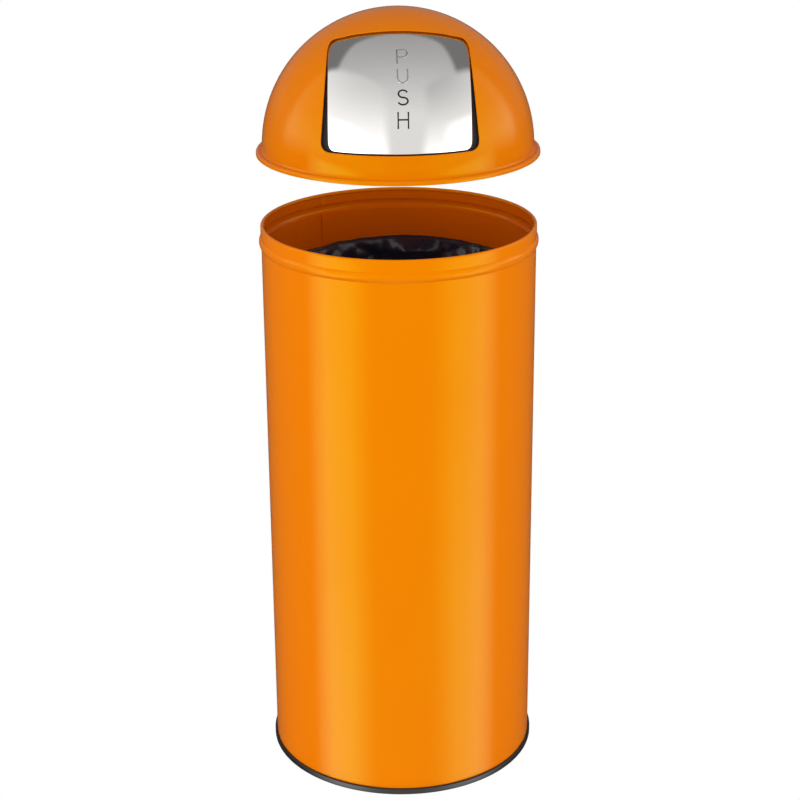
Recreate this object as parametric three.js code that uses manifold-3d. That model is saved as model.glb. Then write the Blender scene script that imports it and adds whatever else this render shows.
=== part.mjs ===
// Dome top waste receptacle: an enamelled sheet-steel drum with a wired rim, a galvanised inner
// bucket with a liner bag and a bail, and a hemispherical lid with a sprung push flap.
// Millimetres, +Z up, the front with the flap faces -Y, and the origin is the centre of the foot.
import * as THREE from 'three';
import { mergeVertices } from 'three/addons/utils/BufferGeometryUtils.js';
import Module from 'manifold-3d';

// ---------------------------------------------------------------- driving dimensions

const clearance = 0.3;             // between pieces that touch or seat on each other
const degree = Math.PI / 180;

// drum
const bodyRadius = 149.5;          // outside of the drum wall
const bodyHeight = 626;            // floor to the top of the wired rim
const bodySheet = 1;
const collarStep = 0.5;            // the wall above the bead is this much wider
const rimWireRadius = 1.9;         // half the thickness of the rolled, wired rim
const beadDrop = 19;               // rim top down to the middle of the swaged bead
const beadHalfHeight = 5.5;
const beadDepth = 2.4;
const seamWidth = 6;               // vertical lock seam inside the wall
const seamThickness = 0.8;
const seamAngle = 34.5;            // degrees from the back towards -X

// foot
const footRingHeight = 7;
const footRingProud = 2.6;         // how far the foot ring stands out from the wall
const footRingWidth = 12;          // width of the ring's resting face
const footRingFloor = 2.4;         // thickness of the ring under the wall
const bottomHeight = 13;           // floor to the upper face of the bottom plate
const bottomSheet = 1;

// inner bucket
const bucketGap = 10;              // drum wall to the bucket's rolled rim
const bucketDrop = 60.5;           // drum rim down to the bucket's rim
const bucketSheet = 0.8;
const bucketRollRadius = 2;
const bucketTaper = 4;             // the bucket is this much narrower at the bottom
const bucketBaseRise = 7;          // the bucket's base above its lower edge

// liner bag
const bagFilm = 1;
const bagCuffLength = 58;          // how far the bag hangs over the outside of the bucket's rim
const bagNotchAngle = 8.5;         // half the angle left open around each ear

// ears and bail
const earWidth = 20;
const earSheet = 2;
const earFootHeight = 26;
const earTopHeight = 24;
const earJoggle = 3.6;             // how far the ear's upper half stands out from its foot
const earRivetRadius = 2;
const earRivetHeadRadius = 4;
const bailPivotDrop = 15.5;        // bucket rim down to the bail's pivot
const bailWireRadius = 2;
const bailHeadRadius = 3.6;        // peened ends that keep the bail in its ears
const bailDroop = 4;               // degrees below level when folded to the front
const gripRadius = 3.5;
const gripLength = 90;

// lid
const lidRaise = 80.1;             // how far the lid is held above its seat at rest
const domeInset = 4.1;             // drum wall to the dome's wall
const domeSheet = 1;
const flangeDrop = 4.2;            // dome centre down to the underside of its flange
const lipDepth = 3.2;              // the lip hangs this far down round the drum's rim
const lipThickness = 1.5;
const lipClearance = 0.5;          // between the rim and the lip

// opening in the dome, as elevations and side angles on the dome
const openingBottomElevation = 8.3;
const openingTopElevation = 64.3;
const openingBottomSpread = 33.6;
const openingTopSpread = 29.6;
const openingArch = 12;            // the top edge rises this much in the middle
const openingTopCorner = 14;
const openingBottomCorner = 10;
const hemThickness = 1;            // edge of the opening, turned inwards
const hemDepth = 2;

// push flap
const flapGap = 1.3;               // inside of the dome to the outside of the flap
const flapSheet = 1;
const flapSideGap = 7.5;
const flapBottomGap = 2.3;
const flapCorner = 8;
const flapTilt = 16.8;             // degrees from the vertical to the flap's top edge and hinge
const flapHemDepth = 4;
const flapBorder = 2.2;            // the flap's sunk border reaches this far past the opening's edge
const hingeDepth = 19.1;           // outside of the flap to the hinge axis
const rodRadius = 2.5;
const rodPlay = 0.6;               // radial play of everything that turns on the rod
const lugOffset = 33;              // middle plane to the middle of each lug
const lugSheet = 2.4;
const lugEyeRadius = 7;
const lugFootWidth = 12;
const lugFootLength = 34;
const heelLength = 13;             // tail of the lug that meets the stop
const bushThickness = 1.6;
const bracketSheet = 2;
const bracketEyeRadius = 7.5;
const bracketFootWidth = 16;
const bracketSetback = 0.5;        // hinge plane back to the front edge of the bracket's foot
const bracketFootLength = 32;
const stopPinRadius = 1.8;
const stopSleeveRadius = 3.6;
const stopReach = 9;               // hinge axis to the stop pin, towards the back
const clipRadius = 5;
const clipThickness = 1.6;
const springWireRadius = 0.8;
const springCoilRadius = 5.2;
const springTurns = 6;
const springPitch = 2.4;
const springLegLength = 16;

// tessellation
const roundSteps = 56;             // drum and dome share one grid, so that the lid seats evenly
const bucketSteps = 40;
const smallSteps = 12;
const wireSteps = 8;
const elevationSteps = 10;         // from the dome's equator to its top

// ---------------------------------------------------------------- derived dimensions

const wallInside = bodyRadius - bodySheet;
const collarRadius = bodyRadius + collarStep;
const beadHeight = bodyHeight - beadDrop;
const footRingOutside = bodyRadius + footRingProud;
const wallFoot = footRingFloor + clearance;

const bucketFoot = bottomHeight + clearance;
const bucketTop = bodyHeight - bucketDrop;
const bucketRimOutside = wallInside - bucketGap;
const bucketWallTop = bucketRimOutside - 1.7 * bucketRollRadius;
const bucketWallBottom = bucketWallTop - bucketTaper;
const bucketBaseTop = bucketFoot + bucketBaseRise;

const bagInnerCuff = bucketRimOutside + clearance;
const bagOuterCuff = bagInnerCuff + bagFilm;
const bagTop = bucketTop + clearance + bagFilm;

const pivotHeight = bucketTop - bailPivotDrop;
const bailRadius = (bagOuterCuff + wallInside) / 2;
const earFootFace = bucketWallTop + clearance;
const earTopFace = earFootFace + earJoggle;

const domeOutside = bodyRadius - domeInset;
const domeInside = domeOutside - domeSheet;
const lidSeat = bodyHeight + clearance;
const domeCentre = lidSeat + lidRaise + flangeDrop;
const lipInside = collarRadius + lipClearance;
const lipOutside = lipInside + lipThickness;

const openingBottom = domeOutside * Math.sin(openingBottomElevation * degree);
const openingTop = domeOutside * Math.sin(openingTopElevation * degree);
const openingBottomHalf = domeOutside * Math.sin(openingBottomSpread * degree);
const openingTopHalf = domeOutside * Math.sin(openingTopSpread * degree);

const flapOutside = domeInside - flapGap;
const flapInside = flapOutside - flapSheet;
const flapHalf = openingBottomHalf - flapSideGap;
const flapBottom = openingBottom + flapBottomGap;
const hingeRadius = flapOutside - hingeDepth;
const hingeY = -hingeRadius * Math.sin(flapTilt * degree);
const hingeZ = hingeRadius * Math.cos(flapTilt * degree);
const bushInner = lugOffset + lugSheet / 2 + clearance;
const bracketInner = bushInner + bushThickness + clearance;
const bracketOuter = bracketInner + bracketSheet;
const clipInner = bracketOuter + clearance;

// ---------------------------------------------------------------- finishes

const enamel = { color: 0xef8404, roughness: 0.22, metalness: 0 };
const enamelLid = { color: 0xed8401, roughness: 0.2, metalness: 0 };
const blackPlastic = { color: 0x1c1517, roughness: 0.4, metalness: 0 };
const galvanised = { color: 0xaeb2b4, roughness: 0.5, metalness: 0.8 };
const polishedSteel = { color: 0xded9d4, roughness: 0.12, metalness: 1 };
const springSteel = { color: 0x8d9094, roughness: 0.35, metalness: 1 };
const zincPlate = { color: 0xa9acae, roughness: 0.4, metalness: 0.9 };
const blackFilm = { color: 0x1e1d23, roughness: 0.35, metalness: 0 };
const rubber = { color: 0x222222, roughness: 0.85, metalness: 0 };
const nylon = { color: 0xe8e6df, roughness: 0.5, metalness: 0 };

// ---------------------------------------------------------------- helpers

const wasm = await Module();
wasm.setup();

/** A closed manifold solid from any closed three.js geometry; faces that point in are turned round. */
function solidOf(geometry) {
  const bare = geometry.clone();
  bare.deleteAttribute('normal');
  bare.deleteAttribute('uv');
  const merged = mergeVertices(bare, 1e-4);
  const points = merged.attributes.position;
  const corners = merged.index.array;
  const a = new THREE.Vector3();
  const b = new THREE.Vector3();
  const c = new THREE.Vector3();
  const kept = [];
  let volume = 0;
  for (let i = 0; i < corners.length; i += 3) {
    const [p, q, r] = [corners[i], corners[i + 1], corners[i + 2]];
    if (p === q || q === r || r === p) {
      continue;
    }
    kept.push(p, q, r);
    a.fromBufferAttribute(points, p);
    b.fromBufferAttribute(points, q);
    c.fromBufferAttribute(points, r);
    volume += a.dot(b.cross(c));
  }
  if (volume < 0) {
    kept.reverse();
  }
  const mesh = new wasm.Mesh({
    numProp: 3,
    vertProperties: new Float32Array(points.array),
    triVerts: new Uint32Array(kept),
  });
  return new wasm.Manifold(mesh);
}

/** Adds a piece to a group as a named mesh. */
function place(group, name, solid, finish) {
  const { vertProperties, triVerts } = solid.getMesh();
  const geometry = new THREE.BufferGeometry();
  geometry.setAttribute('position', new THREE.BufferAttribute(new Float32Array(vertProperties), 3));
  geometry.setIndex(new THREE.BufferAttribute(new Uint32Array(triVerts), 1));
  geometry.computeVertexNormals();
  const mesh = new THREE.Mesh(geometry, new THREE.MeshStandardMaterial(finish));
  mesh.name = name;
  group.add(mesh);
}

/** Revolves a closed profile of [radius, height] points about Z. */
function revolve(profile, steps) {
  const points = profile.map(([r, z]) => new THREE.Vector2(r, z));
  const first = points[0];
  const last = points[points.length - 1];
  if (first.x > 0 || last.x > 0) {
    points.push(first.clone());
  }
  const geometry = new THREE.LatheGeometry(points, steps);
  geometry.rotateX(Math.PI / 2);
  return solidOf(geometry);
}

/** Points of an arc in a profile, both ends included; angles in degrees from +radius towards +height. */
function arc(centreR, centreZ, radius, from, to, steps) {
  return Array.from({ length: steps + 1 }, (_, i) => {
    const angle = (from + ((to - from) * i) / steps) * degree;
    return [centreR + radius * Math.cos(angle), centreZ + radius * Math.sin(angle)];
  });
}

/** A closed outline with rounded corners, from [x, y, cornerRadius] points. */
function roundedOutline(corners, steps = 5) {
  const points = [];
  corners.forEach(([x, y, radius = 0], i) => {
    const here = new THREE.Vector2(x, y);
    if (radius <= 0) {
      points.push(here);
      return;
    }
    const before = corners[(i + corners.length - 1) % corners.length];
    const after = corners[(i + 1) % corners.length];
    const back = new THREE.Vector2(before[0], before[1]).sub(here);
    const ahead = new THREE.Vector2(after[0], after[1]).sub(here);
    const half = Math.acos(back.dot(ahead) / (back.length() * ahead.length())) / 2;
    const reach = Math.min(radius / Math.tan(half), 0.48 * Math.min(back.length(), ahead.length()));
    const start = here.clone().addScaledVector(back.normalize(), reach);
    const end = here.clone().addScaledVector(ahead.normalize(), reach);
    const curve = new THREE.QuadraticBezierCurve(start, here, end);
    points.push(...curve.getPoints(steps));
  });
  return new THREE.Shape(points);
}

/** A prism of an X-Z outline that runs from the plane y = -start to y = -end. */
function frontPrism(outline, start, end) {
  const geometry = new THREE.ExtrudeGeometry(outline, { depth: end - start, bevelEnabled: false });
  geometry.rotateX(Math.PI / 2);
  geometry.translate(0, -start, 0);
  return solidOf(geometry);
}

/** A plate of a Y-Z outline, between two X planes. */
function sidePlate(outline, fromX, toX) {
  const geometry = new THREE.ExtrudeGeometry(outline, { depth: toX - fromX, bevelEnabled: false });
  geometry.rotateY(Math.PI / 2);
  geometry.rotateX(Math.PI / 2);
  geometry.translate(fromX, 0, 0);
  return solidOf(geometry);
}

function box(minX, maxX, minY, maxY, minZ, maxZ) {
  const geometry = new THREE.BoxGeometry(maxX - minX, maxY - minY, maxZ - minZ);
  geometry.translate((minX + maxX) / 2, (minY + maxY) / 2, (minZ + maxZ) / 2);
  return solidOf(geometry);
}

/** A cylinder along X between two X planes. */
function crossPin(radius, fromX, toX, y = 0, z = 0, steps = smallSteps) {
  const geometry = new THREE.CylinderGeometry(radius, radius, toX - fromX, steps);
  geometry.rotateZ(Math.PI / 2);
  geometry.translate((fromX + toX) / 2, y, z);
  return solidOf(geometry);
}

/** A round tube or rod along a list of points, closed at both ends; open bends are mitred. */
function rodAlong(points, radius, sides) {
  const count = points.length;
  const positions = [];
  const indices = [];
  const tangents = points.map((_, i) => {
    const before = points[Math.max(i - 1, 0)];
    const after = points[Math.min(i + 1, count - 1)];
    return after.clone().sub(before).normalize();
  });
  const across = new THREE.Vector3(0, 0, 1);
  if (Math.abs(across.dot(tangents[0])) > 0.9) {
    across.set(0, 1, 0);
  }
  points.forEach((point, i) => {
    across.addScaledVector(tangents[i], -across.dot(tangents[i])).normalize();
    const other = tangents[i].clone().cross(across);
    for (let k = 0; k < sides; k += 1) {
      const angle = (2 * Math.PI * k) / sides;
      const corner = point.clone();
      corner.addScaledVector(across, radius * Math.cos(angle));
      corner.addScaledVector(other, radius * Math.sin(angle));
      positions.push(corner.x, corner.y, corner.z);
    }
  });
  for (let i = 0; i < count - 1; i += 1) {
    for (let k = 0; k < sides; k += 1) {
      const next = (k + 1) % sides;
      const [p, q] = [i * sides + k, i * sides + next];
      const [r, s] = [p + sides, q + sides];
      indices.push(p, q, s, p, s, r);
    }
  }
  for (let k = 1; k < sides - 1; k += 1) {
    const end = (count - 1) * sides;
    indices.push(0, k + 1, k, end, end + k, end + k + 1);
  }
  const geometry = new THREE.BufferGeometry();
  geometry.setAttribute('position', new THREE.Float32BufferAttribute(positions, 3));
  geometry.setIndex(indices);
  return solidOf(geometry);
}

/** A ball on the dome's own grid, so that shells of different radius stay parallel. */
function domeBall(radius) {
  const profile = arc(0, 0, radius, -90, 90, 2 * elevationSteps);
  profile[0][0] = 0;
  profile[profile.length - 1][0] = 0;
  return revolve(profile, roundSteps);
}

function domeShellBetween(inside, outside) {
  return domeBall(outside).subtract(domeBall(inside));
}

/** Both copies of a piece that the object has at +X and -X. */
function bothSides(build) {
  const right = build();
  return [['right', right], ['left', right.mirror([1, 0, 0])]];
}

// ---------------------------------------------------------------- drum

function bodyShell() {
  const rollCentre = collarRadius - rimWireRadius;
  const rollHeight = bodyHeight - rimWireRadius;
  const collarInside = collarRadius - bodySheet;
  const beadFoot = beadHeight - beadHalfHeight;
  const beadHead = beadHeight + beadHalfHeight;
  const shoulder = 0.45 * beadHalfHeight;
  const crest = bodyRadius + beadDepth;
  const profile = [
    [bodyRadius, wallFoot],
    [bodyRadius, beadFoot],
    [bodyRadius + 0.6 * beadDepth, beadHeight - shoulder],
    [crest, beadHeight],
    [bodyRadius + 0.65 * beadDepth, beadHeight + shoulder],
    [collarRadius, beadHead],
    ...arc(rollCentre, rollHeight, rimWireRadius, 0, 235, 8),
    [collarInside, rollHeight - 1.1 * rimWireRadius],
    [collarInside, beadHead],
    [wallInside + 0.65 * beadDepth, beadHeight + shoulder],
    [crest - bodySheet, beadHeight],
    [wallInside + 0.6 * beadDepth, beadHeight - shoulder],
    [wallInside, beadFoot],
    [wallInside, wallFoot],
  ];
  const shell = revolve(profile, roundSteps);
  const seamFoot = bottomHeight + 2 * clearance;
  const seam = box(-seamWidth / 2, seamWidth / 2, wallInside - seamThickness, wallInside + bodySheet / 2,
    seamFoot, beadFoot);
  return shell.add(seam.rotate([0, 0, seamAngle]));
}

function footRing() {
  const inside = footRingOutside - footRingWidth;
  const bevel = 1;
  const wallClear = bodyRadius + clearance;
  return revolve([
    [inside, 0],
    [footRingOutside - bevel, 0],
    [footRingOutside, bevel],
    [footRingOutside, footRingHeight - bevel],
    [footRingOutside - bevel, footRingHeight],
    [wallClear, footRingHeight],
    [wallClear, footRingFloor],
    [inside, footRingFloor],
  ], roundSteps);
}

/** Bottom plate with a downturned flange and a shallow raised pan for stiffness. */
function bottomPlate() {
  const rim = wallInside - clearance;
  const flangeFoot = wallFoot + clearance;
  const panRise = 2;
  const panRadius = 0.8 * rim;
  const panFoot = panRadius + 3 * panRise;
  const top = bottomHeight;
  const under = bottomHeight - bottomSheet;
  return revolve([
    [rim, flangeFoot],
    [rim, top - bottomSheet],
    [rim - bottomSheet, top],
    [panFoot, top],
    [panRadius, top - panRise],
    [0, top - panRise],
    [0, under - panRise],
    [panRadius, under - panRise],
    [panFoot, under],
    [rim - bottomSheet, under],
    [rim - bottomSheet, flangeFoot],
  ], roundSteps);
}

// ---------------------------------------------------------------- inner bucket

function bucketWall() {
  const rollCentre = bucketRimOutside - bucketRollRadius;
  const rollHeight = bucketTop - bucketRollRadius;
  return revolve([
    [bucketWallBottom, bucketFoot],
    [bucketWallTop, rollHeight - bucketRollRadius],
    ...arc(rollCentre, rollHeight, bucketRollRadius, -60, 150, 7),
    [bucketWallTop - bucketSheet, rollHeight - bucketRollRadius],
    [bucketWallBottom - bucketSheet, bucketFoot],
  ], bucketSteps);
}

function bucketBase() {
  const rim = bucketWallBottom - bucketSheet - clearance;
  return revolve([
    [rim, bucketFoot],
    [rim, bucketBaseTop],
    [0, bucketBaseTop],
    [0, bucketBaseTop - bucketSheet],
    [rim - bucketSheet, bucketBaseTop - bucketSheet],
    [rim - bucketSheet, bucketFoot],
  ], bucketSteps);
}

/** Liner bag: a thin skin inside the bucket, folded over its rim, open round both ears. */
function linerBag() {
  const innerTop = bucketWallTop - bucketSheet - 2 * clearance;
  const innerBottom = innerTop - bucketTaper;
  const floor = bucketBaseTop + clearance;
  const cuffFoot = bagTop - bagCuffLength;
  const shoulder = bucketTop - 2 * bucketRollRadius;
  const cornerRadius = 30;
  const skin = revolve([
    [bagInnerCuff, cuffFoot],
    [bagOuterCuff, cuffFoot],
    [bagOuterCuff, bagTop - bucketRollRadius],
    [bagOuterCuff - bucketRollRadius, bagTop],
    [innerTop - bagFilm, bagTop],
    [innerTop - 2 * bagFilm, shoulder],
    [innerBottom - bagFilm, floor + cornerRadius],
    [innerBottom - cornerRadius, floor + bagFilm],
    [0, floor + bagFilm],
    [0, floor],
    [innerBottom - cornerRadius + bagFilm, floor],
    [innerBottom, floor + cornerRadius],
    [innerTop - clearance, shoulder],
    [innerTop - clearance, bucketTop + clearance],
    [bagInnerCuff, bucketTop + clearance],
  ], bucketSteps);
  const notchHalf = bucketRimOutside * Math.sin(bagNotchAngle * degree);
  const notchInner = bucketWallTop - bucketSheet;
  const notch = box(notchInner, bagOuterCuff + 1, -notchHalf, notchHalf, cuffFoot - 1,
    bucketTop - bucketRollRadius);
  return skin.subtract(notch).subtract(notch.mirror([1, 0, 0]));
}

/** Pressed ear: a foot on the bucket's wall, a joggle, and an eye for the bail that stands clear of it. */
function ear() {
  const bendHeight = pivotHeight - 0.55 * earTopHeight;
  const footBottom = bendHeight - earJoggle - earFootHeight;
  const top = pivotHeight + 0.45 * earTopHeight;
  const outline = new THREE.Shape([
    new THREE.Vector2(earFootFace, footBottom),
    new THREE.Vector2(earFootFace + earSheet, footBottom),
    new THREE.Vector2(earFootFace + earSheet, bendHeight - earJoggle),
    new THREE.Vector2(earTopFace + earSheet, bendHeight),
    new THREE.Vector2(earTopFace + earSheet, top),
    new THREE.Vector2(earTopFace, top),
    new THREE.Vector2(earTopFace, bendHeight),
    new THREE.Vector2(earFootFace, bendHeight - earJoggle),
  ]);
  const blank = frontPrism(outline, -earWidth / 2, earWidth / 2);
  const face = roundedOutline([
    [-earWidth / 2, footBottom, 4],
    [earWidth / 2, footBottom, 4],
    [earWidth / 2, top, 8],
    [-earWidth / 2, top, 8],
  ], 4);
  const trimmed = blank.intersect(sidePlate(face, earFootFace - 1, earTopFace + earSheet + 1));
  const hole = crossPin(bailWireRadius + rodPlay, earTopFace - 1, earTopFace + earSheet + 1, 0, pivotHeight);
  const rivetHoles = rivetHeights().map((z) => (
    crossPin(earRivetRadius + clearance, earFootFace - 1, earFootFace + earSheet + 1, 0, z, 12)
  ));
  return rivetHoles.reduce((plate, rivetHole) => plate.subtract(rivetHole), trimmed.subtract(hole));
}

function rivetHeights() {
  const footMiddle = pivotHeight - 0.55 * earTopHeight - earJoggle - earFootHeight / 2;
  return [footMiddle - earFootHeight / 4, footMiddle + earFootHeight / 4];
}

/** Rivet with a low domed head outside the ear and its shank against the bucket's wall. */
function earRivet(z) {
  const headFace = earFootFace + earSheet + clearance;
  const headHeight = 1.6;
  const geometry = new THREE.LatheGeometry([
    [0, earFootFace], [earRivetRadius, earFootFace], [earRivetRadius, headFace],
    [earRivetHeadRadius, headFace], [0.75 * earRivetHeadRadius, headFace + 0.75 * headHeight],
    [0, headFace + headHeight],
  ].map(([r, h]) => new THREE.Vector2(r, h)), 12);
  geometry.rotateZ(-Math.PI / 2);
  geometry.translate(0, 0, z);
  return solidOf(geometry);
}

function bailBow() {
  const inner = earTopFace - clearance - 1.6;
  const bend = bailWireRadius;
  const arcSteps = 24;
  const points = [new THREE.Vector3(-inner, 0, 0), new THREE.Vector3(-bailRadius + bend, 0, 0)];
  for (let i = 0; i <= arcSteps; i += 1) {
    const angle = Math.PI * (i / arcSteps);
    const ease = Math.min(i, arcSteps - i) === 0 ? bend : 0;
    points.push(new THREE.Vector3(-bailRadius * Math.cos(angle), -bailRadius * Math.sin(angle) - ease, 0));
  }
  points.push(new THREE.Vector3(bailRadius - bend, 0, 0), new THREE.Vector3(inner, 0, 0));
  const wire = rodAlong(points, bailWireRadius, wireSteps);
  const head = crossPin(bailHeadRadius, inner - 0.4, inner + 1.2, 0, 0, 12);
  return wire.add(head).add(head.mirror([1, 0, 0]));
}

/** Sleeve over the middle of the bail, with a bore that clears the wire. */
function bailGrip() {
  const halfAngle = gripLength / 2 / bailRadius;
  const steps = 8;
  const along = (extra) => Array.from({ length: steps + 1 }, (_, i) => {
    const angle = -Math.PI / 2 + (halfAngle + extra) * ((2 * i) / steps - 1);
    return new THREE.Vector3(bailRadius * Math.cos(angle), bailRadius * Math.sin(angle), 0);
  });
  const sleeve = rodAlong(along(0), gripRadius, wireSteps);
  return sleeve.subtract(rodAlong(along(0.01), bailWireRadius + 1.5 * clearance, wireSteps));
}

// ---------------------------------------------------------------- lid

/** Outline of the dome's opening in X-Z about the dome's centre, widened by outset. */
function openingOutline(outset) {
  const shoulderZ = openingTop - openingArch;
  const archRadius = (openingTopHalf ** 2 + openingArch ** 2) / (2 * openingArch);
  const archSteps = 6;
  const arch = [];
  for (let i = 1; i < archSteps; i += 1) {
    const x = openingTopHalf * (1 - (2 * i) / archSteps);
    const z = openingTop - archRadius + Math.sqrt(archRadius ** 2 - x ** 2);
    arch.push([x, z + outset]);
  }
  return roundedOutline([
    [-openingBottomHalf - outset, openingBottom - outset, openingBottomCorner + outset],
    [openingBottomHalf + outset, openingBottom - outset, openingBottomCorner + outset],
    [openingTopHalf + outset, shoulderZ + outset, openingTopCorner + outset],
    ...arch,
    [-openingTopHalf - outset, shoulderZ + outset, openingTopCorner + outset],
  ]);
}

/** Hemisphere with a rolled flange and lip, and an opening whose edge is turned inwards. */
function domeShell() {
  const groove = domeOutside + 0.6;
  const beadTop = lipInside - 1.2;
  const flangeTop = domeSheet - flangeDrop;
  const roll = lipThickness / 2;
  const lipBottom = -flangeDrop - lipDepth;
  const outer = arc(0, 0, domeOutside, 0, 90, elevationSteps);
  const inner = arc(0, 0, domeInside, 90, 0, elevationSteps);
  outer[elevationSteps][0] = 0;
  inner[0][0] = 0;
  const lip = [
    [domeInside, -flangeDrop],
    [lipInside, -flangeDrop],
    ...arc(lipInside + roll, lipBottom + roll, roll, -180, 0, 4),
    [lipOutside, flangeTop - 0.8],
    [lipOutside - 0.8, flangeTop + 0.5],
    [beadTop, flangeTop + 1],
    [groove + 0.8, flangeTop + 0.1],
    [groove, flangeTop + 0.8],
  ];
  const shell = revolve([...lip, ...outer, ...inner], roundSteps);
  const start = 20;
  const end = domeOutside + 10;
  const cut = frontPrism(openingOutline(0), start, end);
  const collar = frontPrism(openingOutline(hemThickness), start, end);
  const hem = domeShellBetween(domeOutside - hemDepth, domeOutside).intersect(collar);
  return shell.add(hem).subtract(cut);
}

/** Bracket: an eye plate across the rod, with a foot curved to the inside of the dome. */
function hingeBracket() {
  const shellOuter = domeInside - clearance;
  const shellInner = shellOuter - bracketSheet;
  const tilt = flapTilt * degree;
  const along = (distance, radius) => new THREE.Vector2(
    -radius * Math.sin(tilt) + distance * Math.cos(tilt),
    radius * Math.cos(tilt) + distance * Math.sin(tilt),
  );
  const back = bracketSetback + bracketFootLength;
  const plateOutline = new THREE.Shape([
    along(clearance, domeOutside),
    along(clearance, hingeRadius + bracketEyeRadius),
    ...eyePoints(bracketEyeRadius),
    along(stopReach + 5, hingeRadius - 7),
    along(stopReach + 6, hingeRadius + 2),
    along(0.9 * back, domeOutside),
  ]);
  const plate = sidePlate(plateOutline, bracketInner, bracketOuter).intersect(domeBall(shellOuter));
  const footBox = sidePlate(new THREE.Shape([
    along(bracketSetback, domeOutside),
    along(bracketSetback, hingeRadius + 4),
    along(back, hingeRadius - 4),
    along(back, domeOutside),
  ]), bracketInner, bracketInner + bracketFootWidth);
  const foot = domeShellBetween(shellInner, shellOuter).intersect(footBox);
  const rodHole = crossPin(rodRadius + clearance, bracketInner - 1, bracketOuter + 1, hingeY, hingeZ);
  const [pinY, pinZ] = stopPlace();
  const pinHole = crossPin(stopPinRadius + clearance, bracketInner - 1, bracketOuter + 1, pinY, pinZ, 12);
  return plate.add(foot).subtract(rodHole).subtract(pinHole);
}

/** The lower half circle of an eye round the hinge, as Y-Z points from the front to the back. */
function eyePoints(radius) {
  const steps = 6;
  return Array.from({ length: steps + 1 }, (_, i) => {
    const angle = (180 + flapTilt + (i * 180) / steps) * degree;
    return new THREE.Vector2(hingeY + radius * Math.cos(angle), hingeZ + radius * Math.sin(angle));
  });
}

function stopPlace() {
  return [hingeY + stopReach, hingeZ - lugSheet / 2 - 3 - stopSleeveRadius];
}

function stopPin() {
  const [y, z] = stopPlace();
  const inner = lugOffset - lugSheet / 2 - 2;
  return crossPin(stopPinRadius, inner, bracketOuter, y, z, 12);
}

function stopSleeve() {
  const [y, z] = stopPlace();
  const inner = lugOffset - lugSheet / 2 - 2;
  const outer = bracketInner - clearance;
  const sleeve = crossPin(stopSleeveRadius, inner, outer, y, z, 12);
  return sleeve.subtract(crossPin(stopPinRadius + clearance, inner - 1, outer + 1, y, z, 12));
}

function hingeRod() {
  const end = clipInner + clipThickness + 1;
  return crossPin(rodRadius, -end, end, hingeY, hingeZ);
}

function rodClip() {
  const outer = clipInner + clipThickness;
  const disc = crossPin(clipRadius, clipInner, outer, hingeY, hingeZ);
  return disc.subtract(crossPin(rodRadius + clearance, clipInner - 1, outer + 1, hingeY, hingeZ));
}

// ---------------------------------------------------------------- push flap

function flapOutline(inset) {
  const corner = flapCorner - inset;
  return roundedOutline([
    [-flapHalf + inset, flapBottom + inset, corner],
    [flapHalf - inset, flapBottom + inset, corner],
    [flapHalf - inset, domeOutside],
    [-flapHalf + inset, domeOutside],
  ]);
}

/** Everything in front of the tilted plane that holds the dome's cross axis and the flap's top edge. */
function frontOfTilt() {
  const size = 3 * domeOutside;
  return box(-size, size, -size, 0, -size, size).rotate([flapTilt, 0, 0]);
}

/** Spherical panel with its side and bottom edges turned inwards. */
function flapPanel() {
  const start = 5;
  const end = domeOutside;
  const panel = frontPrism(flapOutline(0), start, end);
  const core = frontPrism(flapOutline(flapSheet), start - 1, end + 1);
  const skin = domeShellBetween(flapInside, flapOutside).intersect(panel);
  const hemInside = flapOutside - flapHemDepth;
  const hem = domeShellBetween(hemInside, flapOutside).intersect(panel.subtract(core));
  const frame = frontPrism(openingOutline(flapBorder), start, end).subtract(core);
  const border = domeShellBetween(hemInside, hemInside + flapSheet).intersect(frame);
  return skin.add(hem).add(border).intersect(frontOfTilt());
}

/** Lug: an eye plate on the rod, a heel that meets the stop, and a foot on the back of the flap. */
function flapLug() {
  const footOuter = flapInside - clearance;
  const footInner = footOuter - lugSheet;
  const tilt = flapTilt * degree;
  const downTilt = tilt + lugFootLength / footOuter;
  const topTilt = tilt + 3 / footOuter;
  const onSphere = (angle, radius) => new THREE.Vector2(-radius * Math.sin(angle), radius * Math.cos(angle));
  const heelTop = new THREE.Vector2(hingeY + heelLength, hingeZ + lugEyeRadius / 2);
  const heelFoot = new THREE.Vector2(hingeY + heelLength, hingeZ - lugSheet / 2 - 3 + clearance);
  const outline = new THREE.Shape([
    onSphere(topTilt, domeOutside), onSphere(downTilt, domeOutside), onSphere(downTilt, footInner),
    ...eyePoints(lugEyeRadius).slice(1, 4),
    new THREE.Vector2(hingeY + 2, heelFoot.y), heelFoot, heelTop,
    new THREE.Vector2(hingeY + lugEyeRadius * 0.2, hingeZ + lugEyeRadius),
  ]);
  const plate = sidePlate(outline, lugOffset - lugSheet / 2, lugOffset + lugSheet / 2)
    .intersect(domeBall(footOuter));
  const footSector = sidePlate(new THREE.Shape([
    onSphere(topTilt, 0.8 * domeOutside), onSphere(topTilt, 1.1 * domeOutside),
    onSphere(downTilt, 1.1 * domeOutside), onSphere(downTilt, 0.8 * domeOutside),
  ]), lugOffset + lugSheet / 2 - lugFootWidth, lugOffset + lugSheet / 2);
  const foot = domeShellBetween(footInner, footOuter).intersect(footSector);
  const hole = crossPin(rodRadius + rodPlay, 0, domeOutside, hingeY, hingeZ);
  return plate.add(foot).subtract(hole);
}

function hingeBush() {
  const outer = bushInner + bushThickness;
  const disc = crossPin(clipRadius, bushInner, outer, hingeY, hingeZ);
  return disc.subtract(crossPin(rodRadius + rodPlay, bushInner - 1, outer + 1, hingeY, hingeZ));
}

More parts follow.
